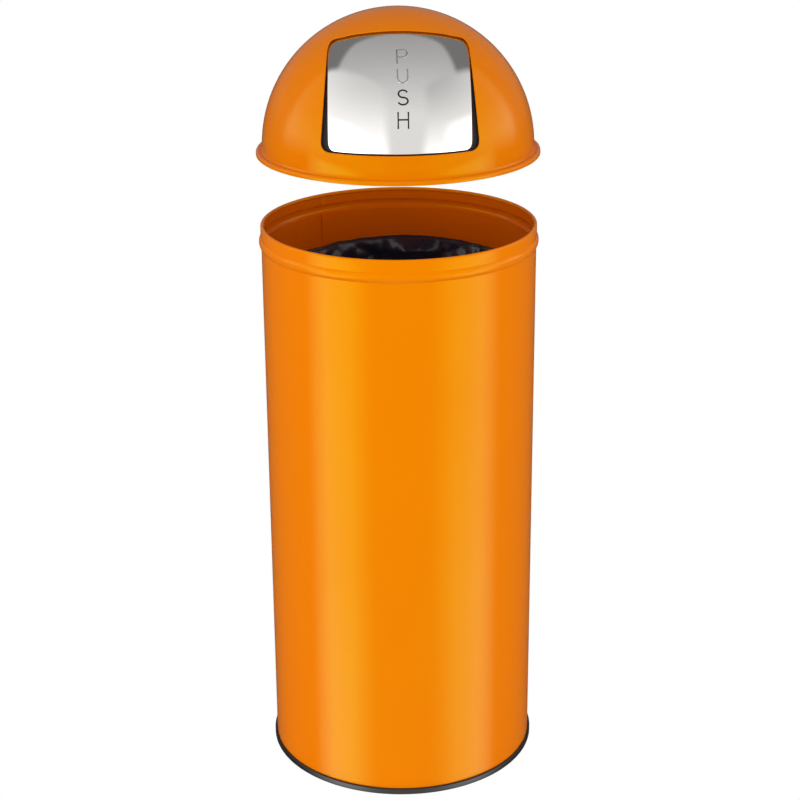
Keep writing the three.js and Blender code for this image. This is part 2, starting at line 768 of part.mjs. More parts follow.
/** Torsion spring round the rod: one leg lies on the flap's back, the other points to the rear. */
function torsionSpring() {
  const stepsPerTurn = 8;
  const count = springTurns * stepsPerTurn;
  const startX = lugOffset - lugSheet / 2 - lugFootWidth - 2 * springWireRadius;
  const startAngle = (180 + flapTilt + 40) * degree;
  const sweep = 2 * Math.PI * springTurns + (120 * degree);
  const points = [];
  const at = (angle, x, radius = springCoilRadius) => new THREE.Vector3(
    x, hingeY + radius * Math.cos(angle), hingeZ + radius * Math.sin(angle),
  );
  for (let i = 0; i <= count + 3; i += 1) {
    const share = i / (count + 3);
    points.push(at(startAngle + sweep * share, startX - springPitch * springTurns * share));
  }
  const first = points[0];
  const last = points[points.length - 1];
  const leaveFirst = new THREE.Vector3(0, Math.sin(startAngle), -Math.cos(startAngle));
  const endAngle = startAngle + sweep;
  const leaveLast = new THREE.Vector3(0, -Math.sin(endAngle), Math.cos(endAngle));
  points.unshift(first.clone().addScaledVector(leaveFirst, springLegLength));
  points.push(last.clone().addScaledVector(leaveLast, springLegLength / 2));
  return rodAlong(points, springWireRadius, 5);
}

// ---------------------------------------------------------------- assembly

const receptacle = new THREE.Group();

const drum = new THREE.Group();
place(drum, 'body_shell', bodyShell(), enamel);
place(drum, 'base_ring', footRing(), blackPlastic);
place(drum, 'bottom_plate', bottomPlate(), galvanised);
receptacle.add(drum);

const bucket = new THREE.Group();
place(bucket, 'inner_bucket', bucketWall(), galvanised);
place(bucket, 'bucket_base', bucketBase(), galvanised);
place(bucket, 'liner_bag', linerBag(), blackFilm);
for (const [side, solid] of bothSides(ear)) {
  place(bucket, `bail_ear_${side}`, solid, zincPlate);
}
for (const [level, z] of rivetHeights().entries()) {
  for (const [side, solid] of bothSides(() => earRivet(z))) {
    place(bucket, `ear_rivet_${side}_${level + 1}`, solid, zincPlate);
  }
}
receptacle.add(bucket);

const bail = new THREE.Group();
place(bail, 'bail_handle', bailBow(), zincPlate);
place(bail, 'bail_grip', bailGrip(), blackPlastic);
bail.position.z = pivotHeight;
bail.rotation.x = bailDroop * degree;
receptacle.add(bail);

const lid = new THREE.Group();
place(lid, 'dome_shell', domeShell(), enamelLid);
place(lid, 'hinge_rod', hingeRod(), zincPlate);
const lidPairs = { hinge_bracket: hingeBracket, rod_clip: rodClip, stop_pin: stopPin, stop_sleeve: stopSleeve };
const lidFinishes = { hinge_bracket: zincPlate, rod_clip: springSteel, stop_pin: zincPlate, stop_sleeve: rubber };
for (const [name, build] of Object.entries(lidPairs)) {
  for (const [side, solid] of bothSides(build)) {
    place(lid, `${name}_${side}`, solid, lidFinishes[name]);
  }
}

const flap = new THREE.Group();
place(flap, 'flap_panel', flapPanel(), polishedSteel);
const flapPairs = { flap_lug: flapLug, hinge_bush: hingeBush, torsion_spring: torsionSpring };
const flapFinishes = { flap_lug: zincPlate, hinge_bush: nylon, torsion_spring: springSteel };
for (const [name, build] of Object.entries(flapPairs)) {
  for (const [side, solid] of bothSides(build)) {
    place(flap, `${name}_${side}`, solid, flapFinishes[name]);
  }
}
lid.add(flap);
lid.position.z = domeCentre;
receptacle.add(lid);

export default receptacle;
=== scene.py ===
"""Looks of the dome top waste receptacle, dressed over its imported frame.

Every class below stands for one sub-assembly and keeps its sizes in millimetres, measured about the
drum's axis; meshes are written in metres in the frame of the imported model.
"""
from __future__ import annotations

import logging
import math
from collections.abc import Callable, Sequence
from dataclasses import dataclass, field, replace
from enum import Enum
from functools import cache, partial

import bpy
import numpy as np
from mathutils import Euler, Matrix, Vector, noise


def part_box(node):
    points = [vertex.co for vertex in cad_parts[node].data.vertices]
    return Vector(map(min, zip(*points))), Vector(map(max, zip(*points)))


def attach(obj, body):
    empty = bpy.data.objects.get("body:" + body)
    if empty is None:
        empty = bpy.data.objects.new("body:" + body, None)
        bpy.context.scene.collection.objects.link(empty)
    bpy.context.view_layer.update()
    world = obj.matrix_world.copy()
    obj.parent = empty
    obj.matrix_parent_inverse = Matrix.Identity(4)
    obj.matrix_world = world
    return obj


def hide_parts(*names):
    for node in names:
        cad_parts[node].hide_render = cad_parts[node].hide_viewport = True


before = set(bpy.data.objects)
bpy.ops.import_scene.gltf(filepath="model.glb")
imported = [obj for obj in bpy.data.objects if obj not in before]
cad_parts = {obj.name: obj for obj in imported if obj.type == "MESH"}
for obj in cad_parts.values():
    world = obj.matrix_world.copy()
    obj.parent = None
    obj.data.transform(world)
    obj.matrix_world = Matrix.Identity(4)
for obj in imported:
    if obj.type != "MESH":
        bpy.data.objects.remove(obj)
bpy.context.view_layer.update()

LOG = logging.getLogger("receptacle")
MM = 0.001
SHEET_CREASE = 30.0  # degrees; sharper edges of the lid and the flap stay sharp
CUT_HALVINGS = 12  # steps that close in on the point where a cut crosses an edge
FRONT = (195.0, 345.0)  # degrees round the axis that hold all of the flap

Profile = list[tuple[float, float]]
Point = tuple[float, float, float]
Colour = tuple[float, float, float]
Face = tuple[int, ...]
Keep = Callable[[np.ndarray], np.ndarray]
Node = bpy.types.Node
Object = bpy.types.Object
Material = bpy.types.Material
Socket = bpy.types.NodeSocket
Tree = bpy.types.NodeTree


# ---- small helpers

def linear(*channels: int) -> Colour:
    """Linear shader values of an sRGB colour, given as red, green and blue from 0 to 255."""
    shares = [value / 255 for value in channels]
    return tuple(s / 12.92 if s <= 0.04045 else ((s + 0.055) / 1.055) ** 2.4 for s in shares)


def arc(centre: tuple[float, float], radius: float, start: float, end: float, steps: int) -> Profile:
    """Profile points of an arc about a radius-height centre, from one angle in degrees to another."""
    angles = np.radians(np.linspace(start, end, steps + 1))
    return [(centre[0] + radius * math.cos(a), centre[1] + radius * math.sin(a)) for a in angles]


# ---- mesh drafts

def lattice(columns: int, rows: int, wrap: tuple[bool, bool], flip: bool = False) -> list[Face]:
    """Four-cornered faces between points that are stored column by column.

    Args:
        columns: Number of columns.
        rows: Number of points in a column.
        wrap: Whether the last column joins the first, and the last row the first.
        flip: Whether the faces look the other way.

    Returns:
        The faces.
    """
    faces: list[Face] = []
    for c in range(columns if wrap[0] else columns - 1):
        here, there = c * rows, (c + 1) % columns * rows
        for k in range(rows if wrap[1] else rows - 1):
            n = (k + 1) % rows
            if flip:
                faces.append((here + k, here + n, there + n, there + k))
            else:
                faces.append((here + k, there + k, there + n, here + n))
    return faces


@dataclass
class Draft:
    """Vertices in millimetres and faces, gathered before they become one object."""

    points: list[Point] = field(default_factory=list)
    faces: list[Face] = field(default_factory=list)

    def add(self, points: Sequence[Point], faces: Sequence[Face]) -> None:
        """Adds a patch.

        Args:
            points: The patch's points.
            faces: Its faces, as indices of those points.
        """
        start = len(self.points)
        self.points.extend(points)
        self.faces.extend(tuple(i + start for i in face) for face in faces)

    def revolve(self, profile: Profile, angles: Sequence[float], closed: bool = True,
                shape: Callable[[float, float, float], float] | None = None) -> None:
        """Adds a profile revolved about the axis.

        Args:
            profile: Radius-height points, ordered so that the outside is on their right.
            angles: Angles of the meridians in radians, from +X.
            closed: Whether the profile's last point joins its first.
            shape: Gives the radius that replaces (radius, height, angle).
        """
        points: list[Point] = []
        for angle in angles:
            for radius, height in profile:
                r = shape(radius, height, angle) if shape else radius
                points.append((r * math.cos(angle), r * math.sin(angle), height))
        self.add(points, lattice(len(angles), len(profile), (True, closed)))

    def sweep(self, path: Sequence[Vector], radius: float, sides: int) -> None:
        """Adds a round rod with flat ends along a path.

        Args:
            path: Points of the centre line.
            radius: Radius of the rod.
            sides: Number of sides of its section.
        """
        count = len(path)
        across = Vector((0.0, 0.0, 1.0))
        points: list[Point] = []
        for i, middle in enumerate(path):
            # the section's two axes are carried along the path without a twist
            tangent = (path[min(i + 1, count - 1)] - path[max(i - 1, 0)]).normalized()
            if i == 0 and abs(across.dot(tangent)) > 0.9:
                across = Vector((0.0, 1.0, 0.0))
            across = (across - tangent * across.dot(tangent)).normalized()
            other = tangent.cross(across)
            for k in range(sides):
                angle = math.tau * k / sides
                points.append(tuple(middle + radius * (across * math.cos(angle) + other * math.sin(angle))))
        faces = lattice(count, sides, (False, True), flip=True)
        faces.append(tuple(range(sides - 1, -1, -1)))
        faces.append(tuple(range((count - 1) * sides, count * sides)))
        self.add(points, faces)

    def build(self, name: str, material: Material, lift: float = 0.0, crease: float = 38.0) -> Object:
        """Turns the draft into an object.

        Args:
            name: Name of the object.
            material: Its material.
            lift: Height in millimetres that is added to every point.
            crease: Edges sharper than this many degrees stay sharp.

        Returns:
            The new object, linked to the scene.
        """
        mesh = bpy.data.meshes.new(name)
        scaled = [(x * MM, y * MM, (z + lift) * MM) for x, y, z in self.points]
        mesh.from_pydata(scaled, [], self.faces)
        mesh.validate()
        mesh.shade_smooth()
        mesh.set_sharp_from_angle(angle=math.radians(crease))
        mesh.materials.append(material)
        piece = bpy.data.objects.new(name, mesh)
        bpy.context.scene.collection.objects.link(piece)
        return piece

    def place(self, name: str, finish: Finish, body: str, slot: str, *nodes: str, lift: float = 0.0,
              crease: float = 38.0) -> Object:
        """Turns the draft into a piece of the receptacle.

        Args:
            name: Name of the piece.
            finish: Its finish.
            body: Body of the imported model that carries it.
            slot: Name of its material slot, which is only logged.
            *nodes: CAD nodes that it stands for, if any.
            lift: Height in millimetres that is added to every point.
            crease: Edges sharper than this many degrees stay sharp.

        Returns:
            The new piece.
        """
        piece = self.build(name, finish.material(), lift, crease)
        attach(piece, body)
        if nodes:
            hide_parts(*nodes)
        LOG.info("%s rides on %s as %s", name, body, slot)
        return piece


def even_angles(steps: int) -> list[float]:
    """Evenly spaced meridians of a full turn, in radians."""
    return [math.tau * i / steps for i in range(steps)]


# ---- outlines on a sphere

@dataclass
class Outline:
    """A closed X-Z outline with rounded corners, seen from the front and laid on a sphere."""

    corners: Sequence[tuple[float, float, float]]
    corner_steps: int = 9
    edge_step: float = 3.0
    path: np.ndarray = field(init=False)
    outward: np.ndarray = field(init=False)

    def __post_init__(self) -> None:
        """Works out the outline's points and their outward directions."""
        rounded: list[np.ndarray] = []
        count = len(self.corners)
        for i, (x, z, radius) in enumerate(self.corners):
            here = np.array((x, z))
            back = np.array(self.corners[i - 1][:2]) - here
            ahead = np.array(self.corners[(i + 1) % count][:2]) - here
            if radius <= 0:
                rounded.append(here)
                continue
            unit_back = back / np.linalg.norm(back)
            unit_ahead = ahead / np.linalg.norm(ahead)
            half = math.acos(float(np.clip(unit_back @ unit_ahead, -1, 1))) / 2
            reach = min(radius / math.tan(half), 0.48 * min(np.linalg.norm(back), np.linalg.norm(ahead)))
            # the corner becomes a curve between the points where its rounding starts and ends
            start, end = here + unit_back * reach, here + unit_ahead * reach
            for t in np.linspace(0, 1, self.corner_steps + 1):
                rounded.append((1 - t) ** 2 * start + 2 * t * (1 - t) * here + t * t * end)
        # long edges are divided, so that a strip along them follows the sphere
        fine: list[np.ndarray] = []
        for i, start in enumerate(rounded):
            end = rounded[(i + 1) % len(rounded)]
            pieces = max(1, int(np.linalg.norm(end - start) / self.edge_step))
            fine.extend(start + (end - start) * (k / pieces) for k in range(pieces))
        self.path = np.array(fine)
        along = np.roll(self.path, -1, axis=0) - np.roll(self.path, 1, axis=0)
        along /= np.linalg.norm(along, axis=1)[:, None]
        self.outward = np.stack((along[:, 1], -along[:, 0]), axis=1)

    def distance(self, points: np.ndarray) -> np.ndarray:
        """Signed distance of X-Z points from the outline, positive outside.

        Args:
            points: An array of X-Z rows.

        Returns:
            One distance for each row.
        """
        start = self.path
        end = np.roll(start, -1, axis=0)
        edge = end - start
        away = points[:, None, :] - start[None]
        share = np.clip((away * edge).sum(-1) / (edge * edge).sum(-1), 0, 1)
        gap = np.linalg.norm(away - share[..., None] * edge, axis=-1).min(axis=1)
        # a point is inside if an odd number of edges lies to its right
        above = (start[None, :, 1] > points[:, None, 1]) != (end[None, :, 1] > points[:, None, 1])
        safe = np.where(edge[:, 1] == 0, 1e-9, edge[:, 1])
        cross = start[None, :, 0] + (points[:, None, 1] - start[None, :, 1]) * edge[:, 0] / safe
        inside = (above & (points[:, None, 0] < cross)).sum(axis=1) % 2 == 1
        return np.where(inside, -gap, gap)

    def ring(self, offset: float, radius: float) -> list[Point]:
        """Lays the outline on the front half of a sphere.

        Args:
            offset: How far the outline is moved outwards first.
            radius: Radius of the sphere.

        Returns:
            The points.
        """
        flat = self.path + self.outward * offset
        depth = np.sqrt(np.maximum(radius ** 2 - (flat ** 2).sum(axis=1), 0))
        return [(float(x), float(-y), float(z)) for (x, z), y in zip(flat, depth)]


def clipped_sphere(radius: float, keep: Keep, lowest: float, highest: float,
                   steps: tuple[int, int], spread: tuple[float, float] = (0.0, 360.0)) -> Draft:
    """A patch of a sphere, cut cleanly along the line where a keep function is zero.

    Args:
        radius: Radius of the sphere.
        keep: Gives a signed value for rows of X-Y-Z points, positive where the patch stays.
        lowest: Lowest elevation in degrees.
        highest: Highest elevation in degrees.
        steps: Number of cells round and up.
        spread: First and last angle round the axis in degrees; a full turn closes.

    Returns:
        A draft with the patch.
    """
    around, up = steps
    whole = spread[1] - spread[0] >= 360.0
    azimuths = np.radians(np.linspace(*spread, around + 1))
    elevations = np.radians(np.linspace(lowest, highest, up + 1))
    azimuth_grid, elevation_grid = np.meshgrid(azimuths, elevations, indexing="ij")
    grid = radius * np.stack((np.cos(elevation_grid) * np.cos(azimuth_grid),
                              np.cos(elevation_grid) * np.sin(azimuth_grid),
                              np.sin(elevation_grid)), axis=-1)
    values = keep(grid.reshape(-1, 3)).reshape(grid.shape[:2])
    draft = Draft()
    index: dict[tuple[int, ...], int] = {}

    def corner(i: int, j: int) -> int:
        """Finds a grid point's index and makes the point when it is first used.

        Args:
            i: Its place round the axis.
            j: Its place upwards.

        Returns:
            The index.
        """
        column = i % around if whole else i
        key = (column, j) if j < up or highest < 90.0 else (0, j)
        if key not in index:
            index[key] = len(draft.points)
            draft.points.append(tuple(grid[column, j]))
        return index[key]

    def crossing(a: tuple[int, int], b: tuple[int, int]) -> int:
        """Finds where the cut crosses an edge and makes the point when it is first used.

        Args:
            a: Grid point at one end of the edge.
            b: Grid point at its other end.

        Returns:
            The point's index.
        """
        first, second = sorted((i % around if whole else i, j) for i, j in (a, b))
        key = (*first, *second)
        if key not in index:
            start, end = grid[first], grid[second]
            low, high = (0.0, 1.0) if values[first] < 0 else (1.0, 0.0)
            for _ in range(CUT_HALVINGS):
                middle = (low + high) / 2
                point = start + (end - start) * middle
                if keep(point[None])[0] < 0:
                    low = middle
                else:
                    high = middle
            point = start + (end - start) * high
            index[key] = len(draft.points)
            draft.points.append(tuple(point * radius / np.linalg.norm(point)))
        return index[key]

    for i in range(around):
        for j in range(up):
            cell = [(i, j), (i + 1, j), (i + 1, j + 1), (i, j + 1)]
            signs = [values[a, b] >= 0 for a, b in cell]
            if not any(signs):
                continue
            # corners that stay, and a point wherever the cut crosses an edge of the cell
            face: list[int] = []
            for k, here in enumerate(cell):
                after = cell[(k + 1) % 4]
                if signs[k]:
                    face.append(corner(*here))
                if signs[k] != signs[(k + 1) % 4]:
                    face.append(crossing(here, after))
            clean = [p for k, p in enumerate(face) if p != face[k - 1]]
            if len(clean) > 2:
                draft.faces.append(tuple(clean))
    return draft


# ---- shader groups

class Effect(Enum):
    """Surface effects that several finishes share."""

    RIPPLE = "orange_peel_ripple"
    HANDLING = "handling_marks"
    SPANGLE = "zinc_spangle"
    HAIRLINE = "polishing_hairline"


class NodeBook:
    """Builds a node tree by short calls."""

    def __init__(self, tree: Tree) -> None:
        """Keeps the tree that nodes go into."""
        self.tree = tree

    def node(self, kind: str, values: dict[str, object] | None = None, **settings: object) -> Node:
        """Adds a node.

        Args:
            kind: Blender's name of the node type.
            values: Values of its input sockets, by socket name.
            **settings: Attributes of the node.

        Returns:
            The new node.
        """
        node = self.tree.nodes.new(kind)
        for key, value in settings.items():
            setattr(node, key, value)
        for key, value in (values or {}).items():
            node.inputs[key].default_value = value
        return node

    def link(self, source: Socket, target: Socket) -> None:
        """Joins an output to an input."""
        self.tree.links.new(source, target)

    def maths(self, operation: str, first: Socket, second: Socket | float) -> Socket:
        """Joins two values by a Math node.

        Args:
            operation: Blender's name of the operation.
            first: First value.
            second: Second value, a socket or a constant.

        Returns:
            The result.
        """
        node = self.node("ShaderNodeMath", operation=operation)
        self.link(first, node.inputs[0])
        if isinstance(second, float):
            node.inputs[1].default_value = second
        else:
            self.link(second, node.inputs[1])
        return node.outputs[0]

    def along(self, vector: Socket, axis: Point) -> Socket:
        """Measures a vector along an axis.

        Args:
            vector: The vector.
            axis: The axis, of any length.

        Returns:
            Their dot product.
        """
        node = self.node("ShaderNodeVectorMath", operation="DOT_PRODUCT")
        self.link(vector, node.inputs[0])
        node.inputs[1].default_value = axis
        return node.outputs["Value"]

    def remap(self, source: Socket, low: float, high: float, to_low: float, to_high: float) -> Socket:
        """Maps a range of values to another and clamps it.

        Args:
            source: The value.
            low: Start of its range.
            high: End of its range.
            to_low: What low becomes.
            to_high: What high becomes.

        Returns:
            The mapped value.
        """
        node = self.node("ShaderNodeMapRange", {"From Min": low, "From Max": high,
                                                "To Min": to_low, "To Max": to_high})
        self.link(source, node.inputs["Value"])
        return node.outputs["Result"]

    def show(self, seen: Socket, otherwise: Socket, target: Socket) -> None:
        """Shows one shader to camera rays and another to every other ray.

        Args:
            seen: Shader for camera rays.
            otherwise: Shader for the others.
            target: Input that takes the blend.
        """
        blend = self.node("ShaderNodeMixShader")
        self.link(self.node("ShaderNodeLightPath").outputs["Is Camera Ray"], blend.inputs[0])
        self.link(otherwise, blend.inputs[1])
        self.link(seen, blend.inputs[2])
        self.link(blend.outputs[0], target)


class EffectGroup:
    """Shader node group of one effect, filled by the method for that effect."""

    sockets: dict[Effect, tuple[dict[str, float], tuple[str, ...]]] = {
        Effect.RIPPLE: ({"Scale": 260.0}, ("Height", "Drift")),
        Effect.HANDLING: ({"Scale": 14.0, "Amount": 0.5}, ("Mask",)),
        Effect.SPANGLE: ({"Scale": 95.0}, ("Tone",)),
        Effect.HAIRLINE: ({"Stretch": 0.04}, ("Height", "Tone")),
    }

    def __init__(self, effect: Effect) -> None:
        """Opens the group with its float sockets and a vector input called Place, and fills it.

        Args:
            effect: The effect that the group gives.
        """
        inputs, outputs = self.sockets[effect]
        self.tree = bpy.data.node_groups.new(effect.value, "ShaderNodeTree")
        face = self.tree.interface
        face.new_socket("Place", in_out="INPUT", socket_type="NodeSocketVector")
        for name, value in inputs.items():
            face.new_socket(name, in_out="INPUT", socket_type="NodeSocketFloat").default_value = value
        for name in outputs:
            face.new_socket(name, in_out="OUTPUT", socket_type="NodeSocketFloat")
        self.book = NodeBook(self.tree)
        self.given = self.book.node("NodeGroupInput").outputs
        self.result = self.book.node("NodeGroupOutput").inputs
        fill = {Effect.RIPPLE: self._ripple, Effect.HANDLING: self._handling,
                Effect.SPANGLE: self._spangle, Effect.HAIRLINE: self._hairline}
        fill[effect]()

    def _texture(self, kind: str, values: dict[str, float] | None = None,
                 place: Socket | None = None) -> Node:
        """Adds a texture node.

        Args:
            kind: Blender's name of the node type.
            values: Values of its inputs; if Scale isn't among them it follows the group's.
            place: Where it is read, if not at the group's own place.

        Returns:
            The node.
        """
        values = values or {}
        node = self.book.node(kind, values)
        self.book.link(place or self.given["Place"], node.inputs["Vector"])
        if "Scale" not in values:
            self.book.link(self.given["Scale"], node.inputs["Scale"])
        return node

    def _ripple(self) -> None:
        """Fine lumps of a sprayed coat: a height and a slow drift of its gloss."""
        fine = self._texture("ShaderNodeTexNoise", {"Detail": 2.0, "Roughness": 0.5})
        slow = self._texture("ShaderNodeTexNoise", {"Scale": 7.0, "Detail": 2.0})
        self.book.link(fine.outputs["Fac"], self.result["Height"])
        self.book.link(slow.outputs["Fac"], self.result["Drift"])

    def _handling(self) -> None:
        """Faint wiped smears, as a mask."""
        smear = self._texture("ShaderNodeTexNoise", {"Detail": 5.0, "Roughness": 0.62, "Distortion": 1.4})
        mask = self.book.remap(smear.outputs["Fac"], 0.48, 0.72, 0.0, 1.0)
        self.book.link(self.book.maths("MULTIPLY", mask, self.given["Amount"]), self.result["Mask"])

    def _spangle(self) -> None:
        """Flakes of hot-dip zinc: a tone for each crystal."""
        cells = self._texture("ShaderNodeTexVoronoi")
        split = self.book.node("ShaderNodeSeparateColor")
        self.book.link(cells.outputs["Color"], split.inputs["Color"])
        self.book.link(split.outputs[0], self.result["Tone"])

    def _hairline(self) -> None:
        """Hairlines left by a polishing wheel that ran along X: a height and a tone."""
        squeeze = self.book.node("ShaderNodeCombineXYZ", {"Y": 1.0, "Z": 1.0})
        scaled = self.book.node("ShaderNodeVectorMath", operation="MULTIPLY")
        self.book.link(self.given["Stretch"], squeeze.inputs["X"])
        self.book.link(self.given["Place"], scaled.inputs[0])
        self.book.link(squeeze.outputs[0], scaled.inputs[1])
        lines = self._texture("ShaderNodeTexNoise", {"Scale": 1500.0, "Detail": 3.0}, scaled.outputs[0])
        for name in ("Height", "Tone"):
            self.book.link(lines.outputs["Fac"], self.result[name])


@cache
def effect_tree(effect: Effect) -> Tree:
    """The group of an effect, built at its first use and shared from then on."""
    return EffectGroup(effect).tree


# ---- finishes

@dataclass(frozen=True)
class Finish:
    """A surface finish: its plain values and the shared effects that vary them."""

    name: str
    colour: Colour
    tint: Colour
    effect: Effect
    effect_values: tuple[tuple[str, float], ...] = ()
    roughness: tuple[float, float] = (0.3, 0.36)
    metallic: float = 0.0
    specular: float = 0.5
    specular_tint: Colour = (1.0, 1.0, 1.0)
    bump: float = 0.0
    bump_distance: float = 0.0002
    marks: float = 0.3

    def material(self) -> Material:
        """Builds the material.

        Returns:
            The material, ready for a slot.
        """
        known = bpy.data.materials.get(self.name)
        if known:
            return known
        material = bpy.data.materials.new(self.name)
        material.use_nodes = True
        book = NodeBook(material.node_tree)
        shader = material.node_tree.nodes["Principled BSDF"]
        shader.inputs["Metallic"].default_value = self.metallic
        shader.inputs["Specular IOR Level"].default_value = self.specular
        shader.inputs["Specular Tint"].default_value = (*self.specular_tint, 1.0)
        place = book.node("ShaderNodeTexCoord").outputs["Object"]
        texture = self._group(book, self.effect, place, dict(self.effect_values))
        marks = self._group(book, Effect.HANDLING, place, {"Amount": self.marks})
        varied = texture.outputs[-1]
        mix = book.node("ShaderNodeMix", data_type="RGBA")
        mix.inputs["A"].default_value = (*self.colour, 1.0)
        mix.inputs["B"].default_value = (*self.tint, 1.0)
        book.link(varied, mix.inputs["Factor"])
        book.link(mix.outputs["Result"], shader.inputs["Base Color"])
        low, high = self.roughness
        gloss = book.remap(varied, 0.3, 0.7, low, high)
        rough = book.maths("ADD", gloss, book.maths("MULTIPLY", marks.outputs["Mask"], high - low))
        book.link(rough, shader.inputs["Roughness"])
        if self.bump > 0:
            bump = book.node("ShaderNodeBump", {"Strength": self.bump, "Distance": self.bump_distance})
            book.link(texture.outputs[0], bump.inputs["Height"])
            book.link(bump.outputs["Normal"], shader.inputs["Normal"])
        return material

    @staticmethod
    def _group(book: NodeBook, effect: Effect, place: Socket, values: dict[str, float]) -> Node:
        """Places a shared group with its own values.

        Args:
            book: Node book of the material.
            effect: Which group.
            place: Coordinates that feed it.
            values: Values of its float inputs.

        Returns:
            The group node.
        """
        node = book.node("ShaderNodeGroup", node_tree=effect_tree(effect))
        book.link(place, node.inputs["Place"])
        for key, value in values.items():
            node.inputs[key].default_value = value
        return node


ENAMEL = Finish("orange_enamel", linear(245, 130, 0), linear(242, 126, 0), Effect.RIPPLE,
                (("Scale", 420.0),), roughness=(0.13, 0.17), specular=0.34,
                specular_tint=(0.1, 1.0, 0.01), bump=0.01)
# a darker copy of the enamel for the drum's inner faces: painted shade inside the drum
INSIDE_PAINTED_SHADE_ENAMEL = replace(ENAMEL, name="inside_enamel_painted_shade", colour=linear(238, 110, 0), tint=linear(232, 104, 0))
LID_ENAMEL = replace(ENAMEL, name="lid_enamel", colour=linear(234, 124, 0), tint=linear(230, 120, 0),
                     roughness=(0.07, 0.1), specular=0.3, bump=0.006)
FOOT_PLASTIC = Finish("black_foot_plastic", linear(22, 19, 20), linear(30, 27, 28), Effect.RIPPLE,
                      (("Scale", 900.0),), roughness=(0.34, 0.46), bump=0.06, marks=0.5)
GALVANISED = Finish("galvanised_sheet", linear(158, 162, 165), linear(190, 194, 197), Effect.SPANGLE,
                    roughness=(0.36, 0.52), metallic=0.9, marks=0.4)
ZINC = Finish("zinc_plate", linear(170, 172, 174), linear(186, 188, 190), Effect.RIPPLE,
              (("Scale", 600.0),), roughness=(0.28, 0.4), metallic=1.0, marks=0.4)
POLISHED = Finish("polished_stainless", linear(226, 223, 220), linear(218, 216, 214), Effect.HAIRLINE,
                  roughness=(0.07, 0.1), metallic=1.0, bump=0.01, bump_distance=0.00005, marks=0.2)
# the pressed letters are of the flap's steel; their two finishes are painted reflection, dark for S and H
# and grey for P and U
LETTER_PAINTED_DARK_REFLECTION = Finish("letter_painted_dark_reflection", linear(34, 33, 34), linear(56, 54, 54), Effect.HAIRLINE,
                     roughness=(0.25, 0.35), metallic=1.0, marks=0.2)
LETTER_PAINTED_GREY_REFLECTION = replace(LETTER_PAINTED_DARK_REFLECTION, name="letter_painted_grey_reflection", colour=linear(150, 148, 145),
                      tint=linear(170, 168, 165))
SPRING_WIRE = Finish("spring_wire", linear(130, 132, 135), linear(158, 160, 163), Effect.HAIRLINE,
                     roughness=(0.25, 0.36), metallic=1.0)
RUBBER = Finish("black_rubber", linear(30, 30, 31), linear(44, 44, 45), Effect.RIPPLE,
                (("Scale", 1400.0),), roughness=(0.7, 0.86), bump=0.15, marks=0.6)
# a black copy of the rubber finish for the flap's border: painted shade for the dark gap round the flap
BORDER_PAINTED_SHADE = replace(RUBBER, name="border_painted_shade")
NYLON = Finish("natural_nylon", linear(228, 224, 214), linear(216, 212, 202), Effect.RIPPLE,
               (("Scale", 700.0),), roughness=(0.42, 0.54), bump=0.04)
FILM = Finish("black_bag_film", linear(25, 27, 38), linear(42, 45, 60), Effect.RIPPLE,
              (("Scale", 180.0),), roughness=(0.2, 0.3), bump=0.3, bump_distance=0.001)


# ---- drum

